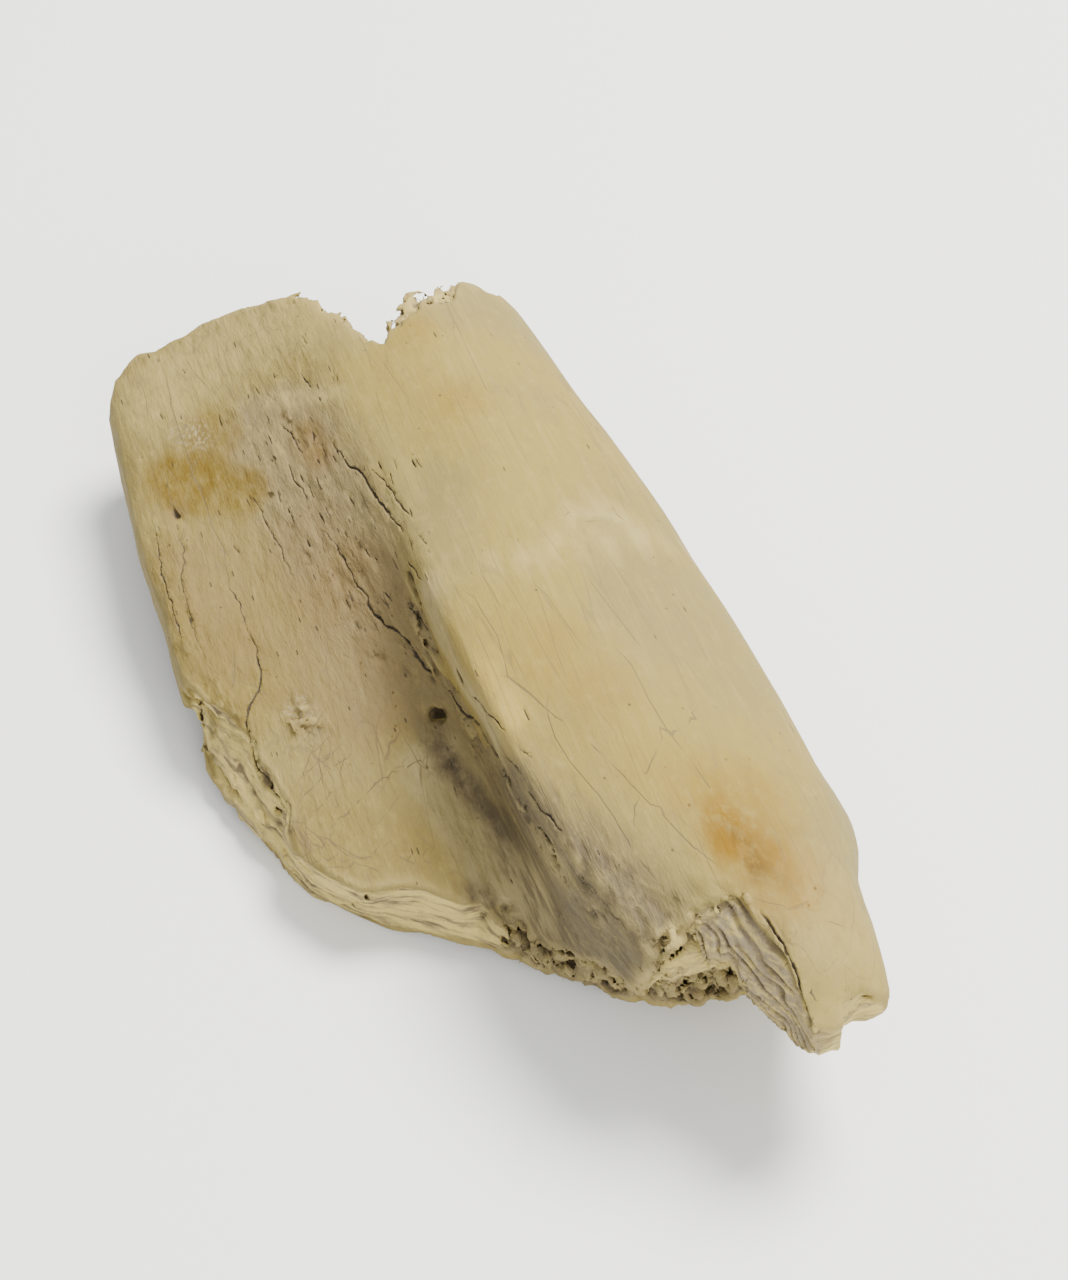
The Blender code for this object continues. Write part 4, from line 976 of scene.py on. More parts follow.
def bore_foramen(bone, points):
    mouth, way = np.array(FORAMEN_MOUTH), np.array(FORAMEN_WAY)
    way = way / np.linalg.norm(way)
    some = near(points, mouth, FORAMEN_DEPTH)
    for side in (-1.0, 1.0):
        start = mouth + side * FORAMEN_HALF_WIDTH * RIGHT
        drill, _ = path_distance(points[some], np.array([start - way * 3.0, start + way * FORAMEN_DEPTH]))
        cut(bone, some, FORAMEN_RADIUS - drill)


def add_marks(bone, points):
    """Chips that stand out, small pits, and the gaps between layers and crumbs."""
    for pixel, size in CHIPS:
        centre = on_bone(pixel)
        some = near(points, centre, size + 1.6)
        chip = ball(points[some], centre, (size, size * 1.2, size * 0.8), 0.0, 0.3, CHIP_SEED)
        chip -= 0.8 * crumbs(points[some], *CHIP_CRUMBS)
        add(bone, some, chip)
    for pixel, half_sizes in PITS:
        centre = on_bone(pixel)
        some = near(points, centre, max(half_sizes) + 1.5)
        cut(bone, some, -ball(points[some], centre, half_sizes, 0.0, 0.35, PIT_SEED))
    for pixels, half_width in CREVICES:
        path = path_on_bone(pixels)
        some = close_to(points, path, half_width + 1.5)
        distance, along = path_distance(wandered(points[some], CREVICE_DRIFT), path)
        taper = 0.6 + 0.5 * np.sin(np.pi * along)
        width = half_width * taper * (1.0 + 0.4 * ripple(points[some], *CRACK_WIDTHS))
        cut(bone, some, width - distance)


def build_field():
    """The bone's field and that of its outer form, on the fine grid."""
    form, broken = (finer(field) for field in coarse_fields())
    xs, ys, zs = (GRID_LOW[axis] + STEP * np.arange(form.shape[axis]) for axis in range(3))
    whole = np.maximum(form, broken)
    active = np.flatnonzero(np.abs(whole.ravel()) < BAND)
    index = np.unravel_index(active, whole.shape)
    points = np.column_stack([xs[index[0]], ys[index[1]], zs[index[2]]]).astype(F32)
    skin, edge, bone = dressed_form(points, form.ravel()[active], broken.ravel()[active])
    add_ends(bone, points, skin, edge)
    cut_hollows(bone, points)
    cut_pores(bone, points, skin)
    add_wall(bone, points, skin)
    bore_foramen(bone, points)
    add_marks(bone, points)
    whole.ravel()[active] = bone
    whole = np.maximum(whole, -zs[None, None, :].astype(F32))
    whole[whole == 0.0] = 1e-4
    return whole, form


# ---------------------------------------------------------------- the mesh

EDGES = [(a, b) for a in range(8) for b in range(a + 1, 8) if bin(a ^ b).count("1") == 1]


def surface(field):
    """Points and quads of the field's zero surface: one point in each cell that it crosses."""
    inside = field < 0
    corners = [tuple((number >> axis) & 1 for axis in (2, 1, 0)) for number in range(8)]
    count = np.zeros(tuple(size - 1 for size in field.shape), dtype=np.int8)
    for corner in corners:
        view = tuple(slice(c, size - 1 + c) for c, size in zip(corner, field.shape))
        count += inside[view]
    cells = np.argwhere((count > 0) & (count < 8))
    values = np.stack([field[cells[:, 0] + c[0], cells[:, 1] + c[1], cells[:, 2] + c[2]]
                       for c in corners], axis=1)
    total, hits = np.zeros((len(cells), 3)), np.zeros(len(cells))
    for a, b in EDGES:
        crossed = (values[:, a] < 0) != (values[:, b] < 0)
        share = np.where(crossed, values[:, a] / (values[:, a] - values[:, b] + 1e-12), 0.0)
        start, end = np.array(corners[a], dtype=float), np.array(corners[b], dtype=float)
        total += np.where(crossed[:, None], start + share[:, None] * (end - start), 0.0)
        hits += crossed
    points = GRID_LOW + STEP * (cells + total / hits[:, None])
    number = np.full(count.shape, -1, dtype=np.int32)
    number[cells[:, 0], cells[:, 1], cells[:, 2]] = np.arange(len(cells))
    quads = []
    for axis in range(3):
        ahead = [slice(None)] * 3
        ahead[axis] = slice(1, None)
        here = [slice(None)] * 3
        here[axis] = slice(None, -1)
        first, last = inside[tuple(here)], inside[tuple(ahead)]
        for leaving in (True, False):
            edge = np.argwhere(first & ~last if leaving else ~first & last)
            b, c = [other for other in range(3) if other != axis]
            if axis == 1:
                b, c = c, b
            around = []
            for shift_b, shift_c in ((0, 0), (-1, 0), (-1, -1), (0, -1)):
                cell = edge.copy()
                cell[:, b] += shift_b
                cell[:, c] += shift_c
                around.append(number[cell[:, 0], cell[:, 1], cell[:, 2]])
            quad = np.stack(around, axis=1)
            quads.append(quad if leaving else quad[:, ::-1])
    return points, np.concatenate(quads)


def largest_part(points, quads):
    """Only the largest connected part of the mesh."""
    label = np.arange(len(points))
    while True:
        lowest = label[quads].min(axis=1)
        fresh = label.copy()
        for column in range(4):
            np.minimum.at(fresh, quads[:, column], lowest)
        fresh = fresh[fresh]
        if (fresh == label).all():
            break
        label = fresh
    kept = label == np.bincount(label).argmax()
    number = np.cumsum(kept) - 1
    return points[kept], number[quads[kept[quads[:, 0]]]]


def evened(points, quads, rounds):
    """Points drawn towards their neighbours' middle, then put back by the same amount of their own drift."""
    ends = np.concatenate([quads[:, [0, 1]], quads[:, [1, 2]], quads[:, [2, 3]], quads[:, [3, 0]]])
    counts = np.bincount(ends[:, 0], minlength=len(points))[:, None]
    for _ in range(rounds):
        for amount in (0.5, -0.52):
            total = np.column_stack([
                np.bincount(ends[:, 0], weights=points[ends[:, 1], axis], minlength=len(points))
                for axis in range(3)])
            points = points + amount * (total / counts - points)
    return points


def blurred(field, reach):
    """The field's mean over a box that reaches this many steps each way."""
    for axis in range(3):
        field = np.moveaxis(field, axis, 0)
        before, after = np.repeat(field[:1], reach + 1, axis=0), np.repeat(field[-1:], reach, axis=0)
        padded = np.concatenate([before, field, after])
        total = np.cumsum(padded, axis=0, dtype=np.float64)
        field = ((total[2 * reach + 1:] - total[:-2 * reach - 1]) / (2 * reach + 1)).astype(F32)
        field = np.moveaxis(field, 0, axis)
    return np.ascontiguousarray(field)


def thinned(points, quads):
    """The surface as an object with at most the wanted number of triangles."""
    mesh = bpy.data.meshes.new("thick_surface")
    mesh.from_pydata(row_frame(points).tolist(), [], quads.tolist())
    bone = bpy.data.objects.new("fossil_rib", mesh)
    bpy.context.scene.collection.objects.link(bone)
    thin_out = bone.modifiers.new("thin_out", "DECIMATE")
    thin_out.ratio = min(1.0, THINNED_TRIANGLES / (2 * len(quads)))
    evaluated = bone.evaluated_get(bpy.context.evaluated_depsgraph_get())
    made = bpy.data.meshes.new_from_object(evaluated)
    bone.modifiers.clear()
    bone.data = made
    bpy.data.meshes.remove(mesh)
    made.name = "fossil_rib"
    return bone


def wall_share(points):
    """How much a point belongs to the face of the fibrous wall."""
    off_wall, share = wall_place(points)
    return (smoothstep(1.6, 0.8, np.abs(off_wall)) * smoothstep(-0.15, 0.05, share)
            * smoothstep(1.04, 0.94, share) * smoothstep(*WALL_Y, points[:, 1]))


def fibre_slits(tree):
    """Short slits along the fibres, on the slope between plate and ridge and on the unseen sides."""
    slits = []
    for (left, top, right, low), count in SLIT_BOXES:
        for _ in range(count):
            pixel = (random.uniform(left, right), random.uniform(top, low))
            slits.append(slit_at(on_bone(pixel, tree), tree))
    for way, (x, z), (spread_x, spread_z), count in UNSEEN_SLITS:
        for _ in range(count):
            y, other = random.uniform(*UNSEEN_SLIT_Y), random.uniform(0.0, 1.0)
            start = (x + spread_x * other, y, z + spread_z * other)
            hit = tree.ray_cast(Vector(row_frame(start)), Vector(way))[0]
            if hit is not None:
                slits.append(slit_at(design(hit), tree))
    return slits


def slit_at(middle, tree):
    """A slit's ends and half width."""
    half = random.uniform(*SLIT_HALF_LENGTHS)
    turn = random.normal(0.0, SLIT_TURN)
    way = np.array([math.sin(turn), math.cos(turn), 0.0]) * half
    ends = [design(tree.find_nearest(Vector(row_frame(middle + sign * way)))[0]) for sign in (-1.0, 1.0)]
    return np.array(ends), random.uniform(*SLIT_HALF_WIDTHS)


def crack_lines(tree):
    """Each open crack and slit: its path, half width and how much it wanders."""
    found = [(close_path_on_bone(pixels, tree), half_width, OPEN_CRACK_DRIFT)
             for pixels, half_width in OPEN_CRACKS]
    return found + [(path, half_width, SLIT_DRIFT) for path, half_width in fibre_slits(tree)]


def by_cracks(points, cracks, reach):
    """Which points lie within reach of a crack, each point with its own reach."""
    found = np.zeros(len(points), dtype=bool)
    for path, half_width, wander in cracks:
        some = close_to(points, path, reach.max() + wander + half_width)
        distance, _ = path_distance(wandered(points[some], wander), path)
        found[some[distance < reach[some] + half_width]] = True
    return found


def refined(bone, cracks):
    """Finer triangles on the fibrous wall and at the cracks."""
    solid = bmesh.new()
    solid.from_mesh(bone.data)
    bmesh.ops.triangulate(solid, faces=solid.faces[:])
    for _ in range(REFINING_ROUNDS):
        solid.verts.index_update()
        spots = design(np.array([vertex.co for vertex in solid.verts]))
        ends = np.array([(edge.verts[0].index, edge.verts[1].index) for edge in solid.edges])
        start, end = spots[ends[:, 0]], spots[ends[:, 1]]
        lengths = np.linalg.norm(end - start, axis=1)
        middles = (start + end) / 2
        split = (wall_share(middles) > 0.02) & (lengths > WALL_EDGE)
        long = np.flatnonzero(lengths > CRACK_EDGE)
        split[long] |= by_cracks(middles[long], cracks, lengths[long] / 2)
        edges = [edge for edge, chosen in zip(solid.edges, split) if chosen]
        bmesh.ops.subdivide_edges(solid, edges=edges, cuts=1)
        bmesh.ops.triangulate(solid, faces=[face for face in solid.faces if len(face.verts) > 3])
    solid.to_mesh(bone.data)
    solid.free()


def path_side(points, normals, path):
    """Distance to a path across the surface, the same with its sign by side, and how far along it that is.
    A path may lie off the surface by the slack, as if it lay on it."""
    best, signed, along = np.full(len(points), 1e9), np.full(len(points), 1e9), np.zeros(len(points))
    lengths = np.linalg.norm(np.diff(path, axis=0), axis=1)
    places = np.concatenate([[0.0], np.cumsum(lengths)]) / lengths.sum()
    for index in range(len(path) - 1):
        way = path[index + 1] - path[index]
        gap = points - path[index]
        share = np.clip(gap @ way / (way @ way), 0.0, 1.0)
        off = gap - share[:, None] * way
        sunk = (off * normals).sum(axis=1)
        across = np.linalg.norm(off - sunk[:, None] * normals, axis=1)
        distance = across + np.maximum(np.abs(sunk) - PATH_SLACK, 0.0)
        side = (np.cross(way, normals) * off).sum(axis=1)
        closer = distance < best
        best = np.where(closer, distance, best)
        signed = np.where(closer, np.where(side < 0, -distance, distance), signed)
        along = np.where(closer, places[index] + share * (places[index + 1] - places[index]), along)
    return best, signed, along


def crack_marks(points, normals, cracks):
    """How far the surface stands out at the cracks (down in them, up on one lip), the signed distance to the
    nearest crack and the crack's half width there."""
    rise, nearest = np.zeros(len(points)), np.full(len(points), FAR_OFF)
    signed, widths = np.full(len(points), CRACK_REACH), np.zeros(len(points))
    for path, half_width, wander in cracks:
        some = close_to(points, path, LIP_REACH * 2 + wander)
        distance, side, along = path_side(wandered(points[some], wander), normals[some], path)
        taper = np.sqrt(np.clip(np.sin(np.pi * np.clip(along, 0.0, 1.0)), 0.0, 1.0))
        width = half_width * (0.5 + 0.6 * taper) * (1.0 + 0.45 * ripple(points[some], *CRACK_WIDTHS))
        sunk = CRACK_STEEPNESS * np.maximum(width - distance, 0.0)
        lip = half_width * LIP_HEIGHT * taper * np.where(side > 0, 1.0, -0.5) * np.exp(-distance / LIP_REACH)
        rise[some] = np.where(sunk > 0, np.minimum(rise[some], -sunk), rise[some] + lip)
        closer = distance < nearest[some]
        chosen = some[closer]
        nearest[chosen], signed[chosen] = distance[closer], side[closer]
        ends = smoothstep(0.0, 0.06, along[closer]) * smoothstep(1.0, 0.94, along[closer])
        widths[chosen] = width[closer] * ends * smoothstep(CRACK_REACH, CRACK_REACH / 2, distance[closer])
    return rise, np.clip(signed, -CRACK_REACH, CRACK_REACH), widths


def wall_ribs(points):
    """How far the wall's ribs stand out at a point, and how deep in a gap between them it lies (0 to 1)."""
    _, share = wall_place(points)
    here = wall_share(points)
    spacing = RIB_SPACING * (0.75 + 0.7 * np.clip(share, 0.0, 1.0))
    phase = (share * WALL_HEIGHT + 0.9 * ripple(points, *RIB_BENDS)) / spacing
    border = np.round(phase)
    by_border = np.column_stack([border * 4.7, points[:, 1], border * 2.3])
    strength = 0.6 + 0.8 * ripple(by_border, *RIB_GAPS)
    gap = smoothstep(0.34, 0.06, np.abs(phase - border)) * np.clip(strength, 0.1, 1.0) * here
    return RIB_GRAIN * here * ripple(points, *RIB_FIBRES) - RIB_DEPTH * gap, gap


# ---------------------------------------------------------------- attributes

def vertex_arrays(mesh):
    count = len(mesh.vertices)
    points, normals = np.empty(count * 3, dtype=F32), np.empty(count * 3, dtype=F32)
    mesh.vertices.foreach_get("co", points)
    mesh.vertex_normals.foreach_get("vector", normals)
    return design(points.reshape(-1, 3)), normals.reshape(-1, 3).astype(float)


def write_vectors(mesh, name, *columns):
    """Up to three numbers at each point, as one attribute."""
    values = np.zeros((len(mesh.vertices), 3), dtype=F32)
    for index, column in enumerate(columns):
        values[:, index] = column
    mesh.attributes.new(name, "FLOAT_VECTOR", "POINT").data.foreach_set("vector", values.ravel())


def hairline_channel(points, normals, tree, lines):
    """Signed distance to the nearest line, and how strong the line is there."""
    nearest = np.full(len(points), FAR_OFF)
    signed, strength = np.full(len(points), FAR_OFF), np.zeros(len(points))
    for pixels, darkness in lines:
        path = close_path_on_bone(pixels, tree)
        some = close_to(points, path, HAIRLINE_REACH + 1.0)
        spots = points[some] + HAIRLINE_DRIFT * drift(points[some], HAIRLINE_BENDS, HAIRLINE_SEED)
        distance, side, along = path_side(spots, normals[some], path)
        closer = distance < nearest[some]
        chosen = some[closer]
        nearest[chosen], signed[chosen] = distance[closer], side[closer]
        ends = smoothstep(0.0, 0.12, along[closer]) * smoothstep(1.0, 0.88, along[closer])
        fading = smoothstep(HAIRLINE_REACH, HAIRLINE_REACH * 0.6, distance[closer])
        strength[chosen] = darkness * ends * fading
    return np.clip(signed, -HAIRLINE_REACH, HAIRLINE_REACH), strength


def near_path(points, pixels, inner, outer):
    """1 within the inner distance of a pixel path on the bone, going to 0 at the outer one."""
    path = path_on_bone(pixels)
    if len(path) == 1:
        distance = np.linalg.norm(points - path[0], axis=1)
    else:
        distance, _ = path_distance(points.astype(F32), path)
    wander = PATCH_WANDER * (outer - inner) * ripple(points, max(inner, PATCH_BORDER_SIZE), PATCH_SEED)
    return smoothstep(outer, inner, distance + wander)


def patches(points, spots):
    """The strongest of several soft patches."""
    return np.maximum.reduce([np.zeros(len(points))] + [
        strength * near_path(points, pixels, inner, outer) for pixels, inner, outer, strength in spots])


def write_attributes(mesh, tree, points, normals, marks, field, form):
    # How enclosed each point is: the material darkens hollows with dirt and painted shade and paints a
    # highlight on edges.
    inside = (field < 0).astype(F32)
    close = sampled(blurred(inside, max(1, round(HOLLOW_REACH / STEP))), points)
    x, y, z = points.T
    flank = (smoothstep(*FLANK_Y, y) * smoothstep(*FLANK_LEFT_X, x)
             * smoothstep(*FLANK_RIGHT_X, x) * smoothstep(*FLANK_Z, z))
    near_sponge = sponge_share(points) * smoothstep(*BROWN_SPONGE_Y, y)
    plate = smoothstep(*TAN_PLATE_X, x)
    write_vectors(mesh, "shape", -sampled(form, points), close, plate)
    write_vectors(mesh, "cracks", *marks)
    write_vectors(mesh, "zones", near_sponge, wall_share(points), np.maximum(flank, patches(points, FLANK)))
    for name, kinds in PATCH_ATTRIBUTES.items():
        write_vectors(mesh, name, *(patches(points, spots) for spots in kinds))
    for number, lines in enumerate(HAIRLINES, start=1):
        write_vectors(mesh, f"hairlines_{number}", *hairline_channel(points, normals, tree, lines))


def bone_piece():
    field, form = build_field()
    points, quads = largest_part(*surface(field))
    bone = thinned(evened(points, quads, 1), quads)
    mesh = bone.data
    tree = mesh_tree(mesh)
    cracks = crack_lines(tree)
    refined(bone, cracks)
    spots, normals = vertex_arrays(mesh)
    rise, signed, widths = crack_marks(spots, normals, cracks)
    ribs, between = wall_ribs(spots)
    moved = spots + normals * (rise + ribs)[:, None]
    moved[:, 2] = np.maximum(moved[:, 2], 0.0)
    mesh.vertices.foreach_set("co", row_frame(moved).astype(F32).ravel())
    mesh.update()
    mesh.polygons.foreach_set("use_smooth", [True] * len(mesh.polygons))
    write_attributes(mesh, tree, spots, normals, (signed, widths, between), field, form)
    return bone


# ---------------------------------------------------------------- material

class Graph:
    """Short ways to write a shader's nodes."""

    def __init__(self, material):
        material.use_nodes = True
        self.tree = material.node_tree
        self.shader = self.tree.nodes["Principled BSDF"]
        place = self.node("ShaderNodeTexCoord").outputs["Object"]
        self.place = self.scaled(place, (1.0 / MM,) * 3)

    def node(self, kind, **settings):
        made = self.tree.nodes.new(kind)
        for name, value in settings.items():
            setattr(made, name, value)
        return made

    def feed(self, socket, value):
        if isinstance(value, bpy.types.NodeSocket):
            self.tree.links.new(value, socket)
        else:
            socket.default_value = value

    def maths(self, operation, first, second=0.0):
        made = self.node("ShaderNodeMath", operation=operation)
        self.feed(made.inputs[0], first)
        self.feed(made.inputs[1], second)
        return made.outputs[0]

    def scaled(self, vector, factors):
        made = self.node("ShaderNodeVectorMath", operation="MULTIPLY")
        self.feed(made.inputs[0], vector)
        self.feed(made.inputs[1], factors)
        return made.outputs[0]

    def added(self, first, second):
        made = self.node("ShaderNodeVectorMath", operation="ADD")
        self.feed(made.inputs[0], first)
        self.feed(made.inputs[1], second)
        return made.outputs[0]

    def ramp(self, value, low, high, to_low=0.0, to_high=1.0):
        """The value's share of the way from low to high, eased, as a number between the last two."""
        made = self.node("ShaderNodeMapRange", interpolation_type="SMOOTHSTEP")
        for socket, given in zip(made.inputs, (value, low, high, to_low, to_high)):
            self.feed(socket, given)
        return made.outputs[0]

    def plus(self, *values):
        total = values[0]
        for value in values[1:]:
            total = self.maths("ADD", total, value)
        return total

    def minus(self, first, second):
        return self.maths("SUBTRACT", first, second)

    def times(self, *values):
        total = values[0]
        for value in values[1:]:
            total = self.maths("MULTIPLY", total, value)
        return total

    def mix(self, share, first, second):
        made = self.node("ShaderNodeMix", data_type="RGBA")
        self.feed(made.inputs["Factor"], share)
        self.feed(made.inputs[6], first)
        self.feed(made.inputs[7], second)
        return made.outputs[2]

    def coats(self, colour, *coats):
        """The colour under several coats, each given as (share, colour)."""
        for share, over in coats:
            colour = self.mix(share, colour, over)
        return colour

    def noise(self, size, detail, roughness, shift):
        """Noise about 0.5 with bumps of this size in millimetres along X, Y and Z."""
        made = self.node("ShaderNodeTexNoise")
        place = self.scaled(self.place, tuple(1.0 / part for part in size))
        self.feed(made.inputs["Vector"], self.added(place, (shift, shift, shift)))
        self.feed(made.inputs["Scale"], 1.0)
        self.feed(made.inputs["Detail"], detail)
        self.feed(made.inputs["Roughness"], roughness)
        return made.outputs["Fac"]

    def cells(self, size, feature, shift, bend=0.0):
        """A node of cells of this size; the bend moves their walls about."""
        made = self.node("ShaderNodeTexVoronoi", feature=feature)
        place = self.added(self.scaled(self.place, tuple(1.0 / part for part in size)), (shift, shift, shift))
        if bend:
            wave = self.node("ShaderNodeTexNoise")
            self.feed(wave.inputs["Vector"], place)
            self.feed(wave.inputs["Scale"], 1.3)
            place = self.added(place, self.scaled(wave.outputs["Color"], (bend,) * 3))
        self.feed(made.inputs["Vector"], place)
        self.feed(made.inputs["Scale"], 1.0)
        return made

    def parts(self, vector):
        """The three numbers of a vector or a colour."""
        made = self.node("ShaderNodeSeparateXYZ")
        self.feed(made.inputs[0], vector)
        return made.outputs

    def attribute(self, name):
        """The three numbers of a vertex attribute."""
        return self.parts(self.node("ShaderNodeAttribute", attribute_name=name).outputs["Vector"])


CREAM = (0.250, 0.186, 0.044, 1.0)
PALE_CREAM = (0.344, 0.269, 0.099, 1.0)
GREY_TAN = (0.214, 0.166, 0.055, 1.0)
PLATE_TAN = (0.156, 0.119, 0.035, 1.0)
SLOPE_GREY = (0.163, 0.123, 0.057, 1.0)
ORANGE_STAIN = (0.172, 0.091, 0.003, 1.0)
ORANGE_DARK = (0.066, 0.034, 0.006, 1.0)
OCHRE_STAIN = (0.105, 0.065, 0.006, 1.0)
BROWN_STAIN = (0.144, 0.096, 0.040, 1.0)
# stain in the groove and painted shade in crevices
GROOVE_STAIN_AND_SHADE = (0.054, 0.037, 0.024, 1.0)
# dark brown for dots, pores and rib gaps, and dirt with painted shade in hollows
DIRT_AND_SHADE = (0.059, 0.045, 0.029, 1.0)
CRACK_DARK = (0.054, 0.042, 0.031, 1.0)
WALL_GREY = (0.244, 0.196, 0.122, 1.0)
# grey tone and painted shade of the flank
FLANK_GREY_AND_SHADE = (0.084, 0.068, 0.043, 1.0)
# painted light on the crest
PAINTED_CREST_LIGHT = (0.36, 0.255, 0.062, 1.0)
# painted light beside the groove
SIDE_PAINTED_LIGHT = (0.300, 0.240, 0.112, 1.0)
FURROW_BROWN = (0.070, 0.052, 0.030, 1.0)
WEB_BROWN = (0.099, 0.068, 0.036, 1.0)
SPONGE_BROWN = (0.139, 0.106, 0.064, 1.0)
HAIRLINE_COLOUR = (0.104, 0.078, 0.042, 1.0)
BROKEN_PALE = (0.520, 0.410, 0.130, 1.0)
BROKEN_DEEP = (0.204, 0.154, 0.084, 1.0)
CHALK_LIGHT = (0.254, 0.204, 0.124, 1.0)
CHALK_DARK = (0.12, 0.085, 0.055, 1.0)

# Noise in the material: size of its bumps in millimetres along X, Y and Z, detail, roughness and shift.
BLOTCHES = ((22.0, 34.0, 22.0), 3.0, 0.5, 3.0)
STREAKS = ((1.1, 16.0, 1.1), 4.0, 0.6, 9.0)
FINE_STREAKS = ((0.34, 5.0, 0.34), 3.0, 0.6, 14.0)
MOTTLE = ((1.6, 2.6, 1.6), 5.0, 0.65, 21.0)
SURFACE_WRINKLES = ((1.4, 5.5, 1.4), 4.0, 0.6, 27.0)
GRAIN = ((0.35, 0.5, 0.35), 2.0, 0.6, 33.0)
ROUGH_PATCHES = ((2.4, 3.4, 2.4), 5.0, 0.7, 41.0)
CHALK = ((0.7, 0.9, 0.7), 3.0, 0.7, 51.0)
RIDGE_WEB_PLACES = ((9.0, 26.0, 9.0), 2.0, 0.5, 61.0)
PLATE_WEB_PLACES = ((8.0, 12.0, 8.0), 2.0, 0.5, 66.0)
LAYERS = ((6.0, 9.0, 0.9), 5.0, 0.65, 71.0)
WALL_FIBRES = ((0.8, 9.0, 0.8), 3.0, 0.6, 75.0)
# Cells in it: size, what is read of them, shift, and how far their walls bend.
DOTS = ((2.3, 2.9, 2.3), "F1", 5.0)
FIBRE_PORES = ((0.9, 5.2, 0.9), "F1", 12.0, 0.25)
RIDGE_WEB = ((3.6, 46.0, 3.6), "DISTANCE_TO_EDGE", 30.0, 0.32)
PLATE_WEB = ((4.2, 13.0, 4.2), "DISTANCE_TO_EDGE", 37.0, 0.5)
ROUGHNESS = (0.58, 0.76)
SPECULAR_LEVEL = 0.12
BUMP_STRENGTH = 0.9


def surface_parts(g):
    """The attributes and the noise that several parts of the material share."""
    at = SimpleNamespace()
    at.depth, at.close, at.plate = g.attribute("shape")
    at.sponge, at.wall, at.flank = g.attribute("zones")
    at.orange, at.ochre, at.brown = g.attribute("stains")
    at.grey, at.groove, at.pale = g.attribute("tones")
    at.heart, at.speckle, _ = g.attribute("spots")
    at.crest, at.beside, at.webbed = g.attribute("shades")
    at.streaks, at.mottle, at.rough_patch = g.noise(*STREAKS), g.noise(*MOTTLE), g.noise(*ROUGH_PATCHES)
    at.skin = g.ramp(at.depth, 1.3, 0.7)
    at.broken = g.ramp(at.depth, 0.7, 1.5)
    return at


def skin_colour(g, at):
    """Cortical surface: cream with soft blotches, fibre streaks and a fine mottle."""
    blotches = g.noise(*BLOTCHES)
    return g.coats(
        g.mix(g.ramp(blotches, 0.38, 0.64), CREAM, GREY_TAN),
        (g.times(at.plate, g.ramp(blotches, 0.25, 0.7, 0.95, 0.6)), PLATE_TAN),
        (g.times(at.grey, 0.85), SLOPE_GREY),
        # the flank's grey tone with painted shade
        (g.times(at.flank, 0.8), FLANK_GREY_AND_SHADE),
        # painted light beside the groove
        (g.times(at.beside, g.ramp(at.streaks, 0.32, 0.6, 0.5, 0.9)), SIDE_PAINTED_LIGHT),
        # painted light along the crest
        (g.times(at.crest, g.ramp(at.streaks, 0.35, 0.6, 0.45, 0.95)), PAINTED_CREST_LIGHT),
        (g.ramp(at.streaks, 0.5, 0.72, 0.0, 0.22), PALE_CREAM),
        (g.ramp(at.streaks, 0.46, 0.28, 0.0, 0.22), BROKEN_DEEP),
        (g.ramp(at.mottle, 0.52, 0.74, 0.0, 0.3), PALE_CREAM),
        (g.times(g.ramp(at.mottle, 0.47, 0.26), g.plus(g.times(at.plate, 0.25), 0.28)), BROWN_STAIN),
        (g.times(at.flank, g.ramp(at.streaks, 0.50, 0.38), 0.5), FURROW_BROWN),
    )


def stained(g, at, colour):
    chalk = g.noise(*CHALK)
    return g.coats(
        colour,
        (g.times(at.orange, g.ramp(at.rough_patch, 0.32, 0.52, 0.5, 1.0)), ORANGE_STAIN),
        (g.times(at.ochre, g.ramp(at.rough_patch, 0.66, 0.40, 0.45, 0.95)), OCHRE_STAIN),
        (g.times(at.brown, g.ramp(at.mottle, 0.35, 0.6, 0.3, 0.9)), BROWN_STAIN),
        (g.times(at.heart, g.ramp(at.mottle, 0.4, 0.56, 0.2, 0.9)), ORANGE_DARK),
        # groove stain and painted shade
        (g.times(at.groove, g.ramp(at.rough_patch, 0.32, 0.6, 0.45, 0.92)), GROOVE_STAIN_AND_SHADE),
        (g.times(at.pale, g.ramp(at.mottle, 0.3, 0.55, 0.5, 0.9)), PALE_CREAM),
        (g.times(at.speckle, g.ramp(chalk, 0.5, 0.6, 0.0, 0.7)), CHALK_LIGHT),
        (g.times(at.speckle, g.ramp(chalk, 0.47, 0.36, 0.0, 0.8)), CHALK_DARK),
    )


def specked(g, at, colour):
    """Small dark dots, and rusty ones in the stains."""
    dots = g.cells(*DOTS)
    distance, chance = dots.outputs["Distance"], g.parts(dots.outputs["Color"])
    dark = g.times(g.ramp(distance, 0.10, 0.05), g.ramp(chance[0], 0.72, 0.78))
    rusty = g.times(g.ramp(distance, 0.13, 0.05), g.ramp(g.plus(at.orange, at.brown), 0.05, 0.4),
                    g.ramp(chance[1], 0.35, 0.45))
    return g.coats(colour, (g.times(dark, 0.7), DIRT_AND_SHADE), (g.times(rusty, 0.7), ORANGE_DARK))


def fibre_pores(g, at):
    """Fine pores and slits along the fibres, most on the slope."""
    pores = g.cells(*FIBRE_PORES)
    picked = g.parts(pores.outputs["Color"])[0]
    share = g.plus(g.times(at.plate, 0.10), 0.03, g.times(at.grey, 0.30))
    return g.times(g.ramp(pores.outputs["Distance"], 0.17, 0.09),
                   g.ramp(g.minus(picked, share), 0.02, -0.02), at.skin)


